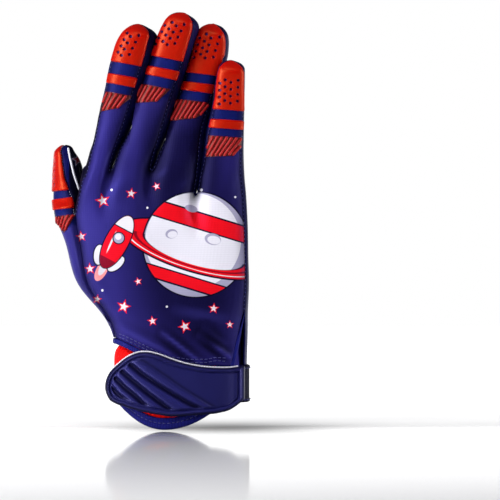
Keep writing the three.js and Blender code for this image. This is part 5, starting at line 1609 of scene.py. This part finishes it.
def stitches(path, normals, pitch, length, lift=STITCH_LIFT):
    """Single stitches along a path on a surface."""
    path = np.array(path) + np.array(normals) * lift
    run = np.concatenate(((0,), np.cumsum(np.linalg.norm(np.diff(path, axis=0), axis=1))))
    row = []
    for start in np.arange(pitch / 2, run[-1] - length, pitch):
        at = start + length * np.array((0, 0.2, 0.8, 1))
        points = np.stack([np.interp(at, run, path[:, k]) for k in range(3)], axis=1)
        upward = np.stack([np.interp(at, run, np.array(normals)[:, k]) for k in range(3)], axis=1)
        row.append(strand(points, upward, THREAD, THREAD * STITCH_HIGH, THREAD_SIDES))
    return row


def laid_row(tree, x, z):
    """The points and normals where a line seen from the front lies on a surface."""
    path = []
    normals = []
    for a, b in zip(x, z):
        spot, normal, _, _ = tree.ray_cast(Vector((a, -FAR, b)) * MM, Vector((0, 1, 0)))
        if spot is None:
            continue
        if path and (spot / MM - path[-1]).length > JUMP:
            break
        path.append(spot / MM)
        normals.append(normal)
    return path, normals


def outwards(path):
    """The level direction away from the wrist's middle at each point of a path."""
    level = path * (1, 1, 0)
    return level / np.linalg.norm(level, axis=1)[:, None]


def sewn(name, strands, material):
    piece = joined_strands(name, strands)
    piece.data.materials.append(material)
    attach(piece, "root")


blue_thread = thread("blue_polyester_thread", "#34347c")
pale_thread = thread("pale_polyester_thread", "#9696b6")
white_cord = thread("white_piping_cord", "#dcdce8")

row = []
for other, lines in palm_seams.items():
    if other != "thumb_panel":
        for line in lines:
            row += stitches(skin_points[line], skin_normals[line], *SEAM_STITCH)
sewn("finger_seam_threads", row, blue_thread)

palm = bmesh.new()
palm.from_mesh(outer_sheets["palm_panel"])
palm_tree = BVHTree.FromBMesh(palm)
x = np.linspace(*ROW_ENDS, ROW_STEPS)
row = []
for above in ROWS_ABOVE_BINDING:
    row += stitches(*laid_row(palm_tree, x, hanging_edge(x) + above), *ROW_STITCH)
palm.free()
turns = np.linspace(0, math.tau, 2 * ROW_STEPS)
path = on_lip(turns, *LIP_ROW)
row += stitches(path, outwards(path), *ROW_STITCH)
turns = np.radians(np.linspace(*BAND_ANGLES, ROW_STEPS))
for z in (BAND_START[0] + BAND_ROW_INSET, BAND_START[1] - BAND_ROW_INSET):
    z = z + (BAND_END[1] - BAND_START[1]) * np.linspace(0, 1, ROW_STEPS)
    path = on_band(turns, z, BAND_THICK)
    row += stitches(path, outwards(path), *ROW_STITCH)
sewn("edge_rows_of_thread", row, blue_thread)

row = []
for line in thumb_front_seam:
    row += stitches(skin_points[line], skin_normals[line], *DOTS, lift=DOTS_LIFT)
sewn("thumb_dotted_thread", row, pale_thread)

side = bmesh.new()
side.from_mesh(outer_sheets["gusset_thumb_index"])
z = np.linspace(PIPING_LINE[0][1], PIPING_LINE[-1][1], PIPING_STEPS)
x = np.interp(-z, [-row[1] for row in PIPING_LINE], [row[0] for row in PIPING_LINE])
path, upward = laid_row(BVHTree.FromBMesh(side), x, z)
side.free()
cord = strand(path, upward, PIPING, PIPING / 2, PIPING_SIDES)
sewn("thumb_piping", [cord], white_cord)
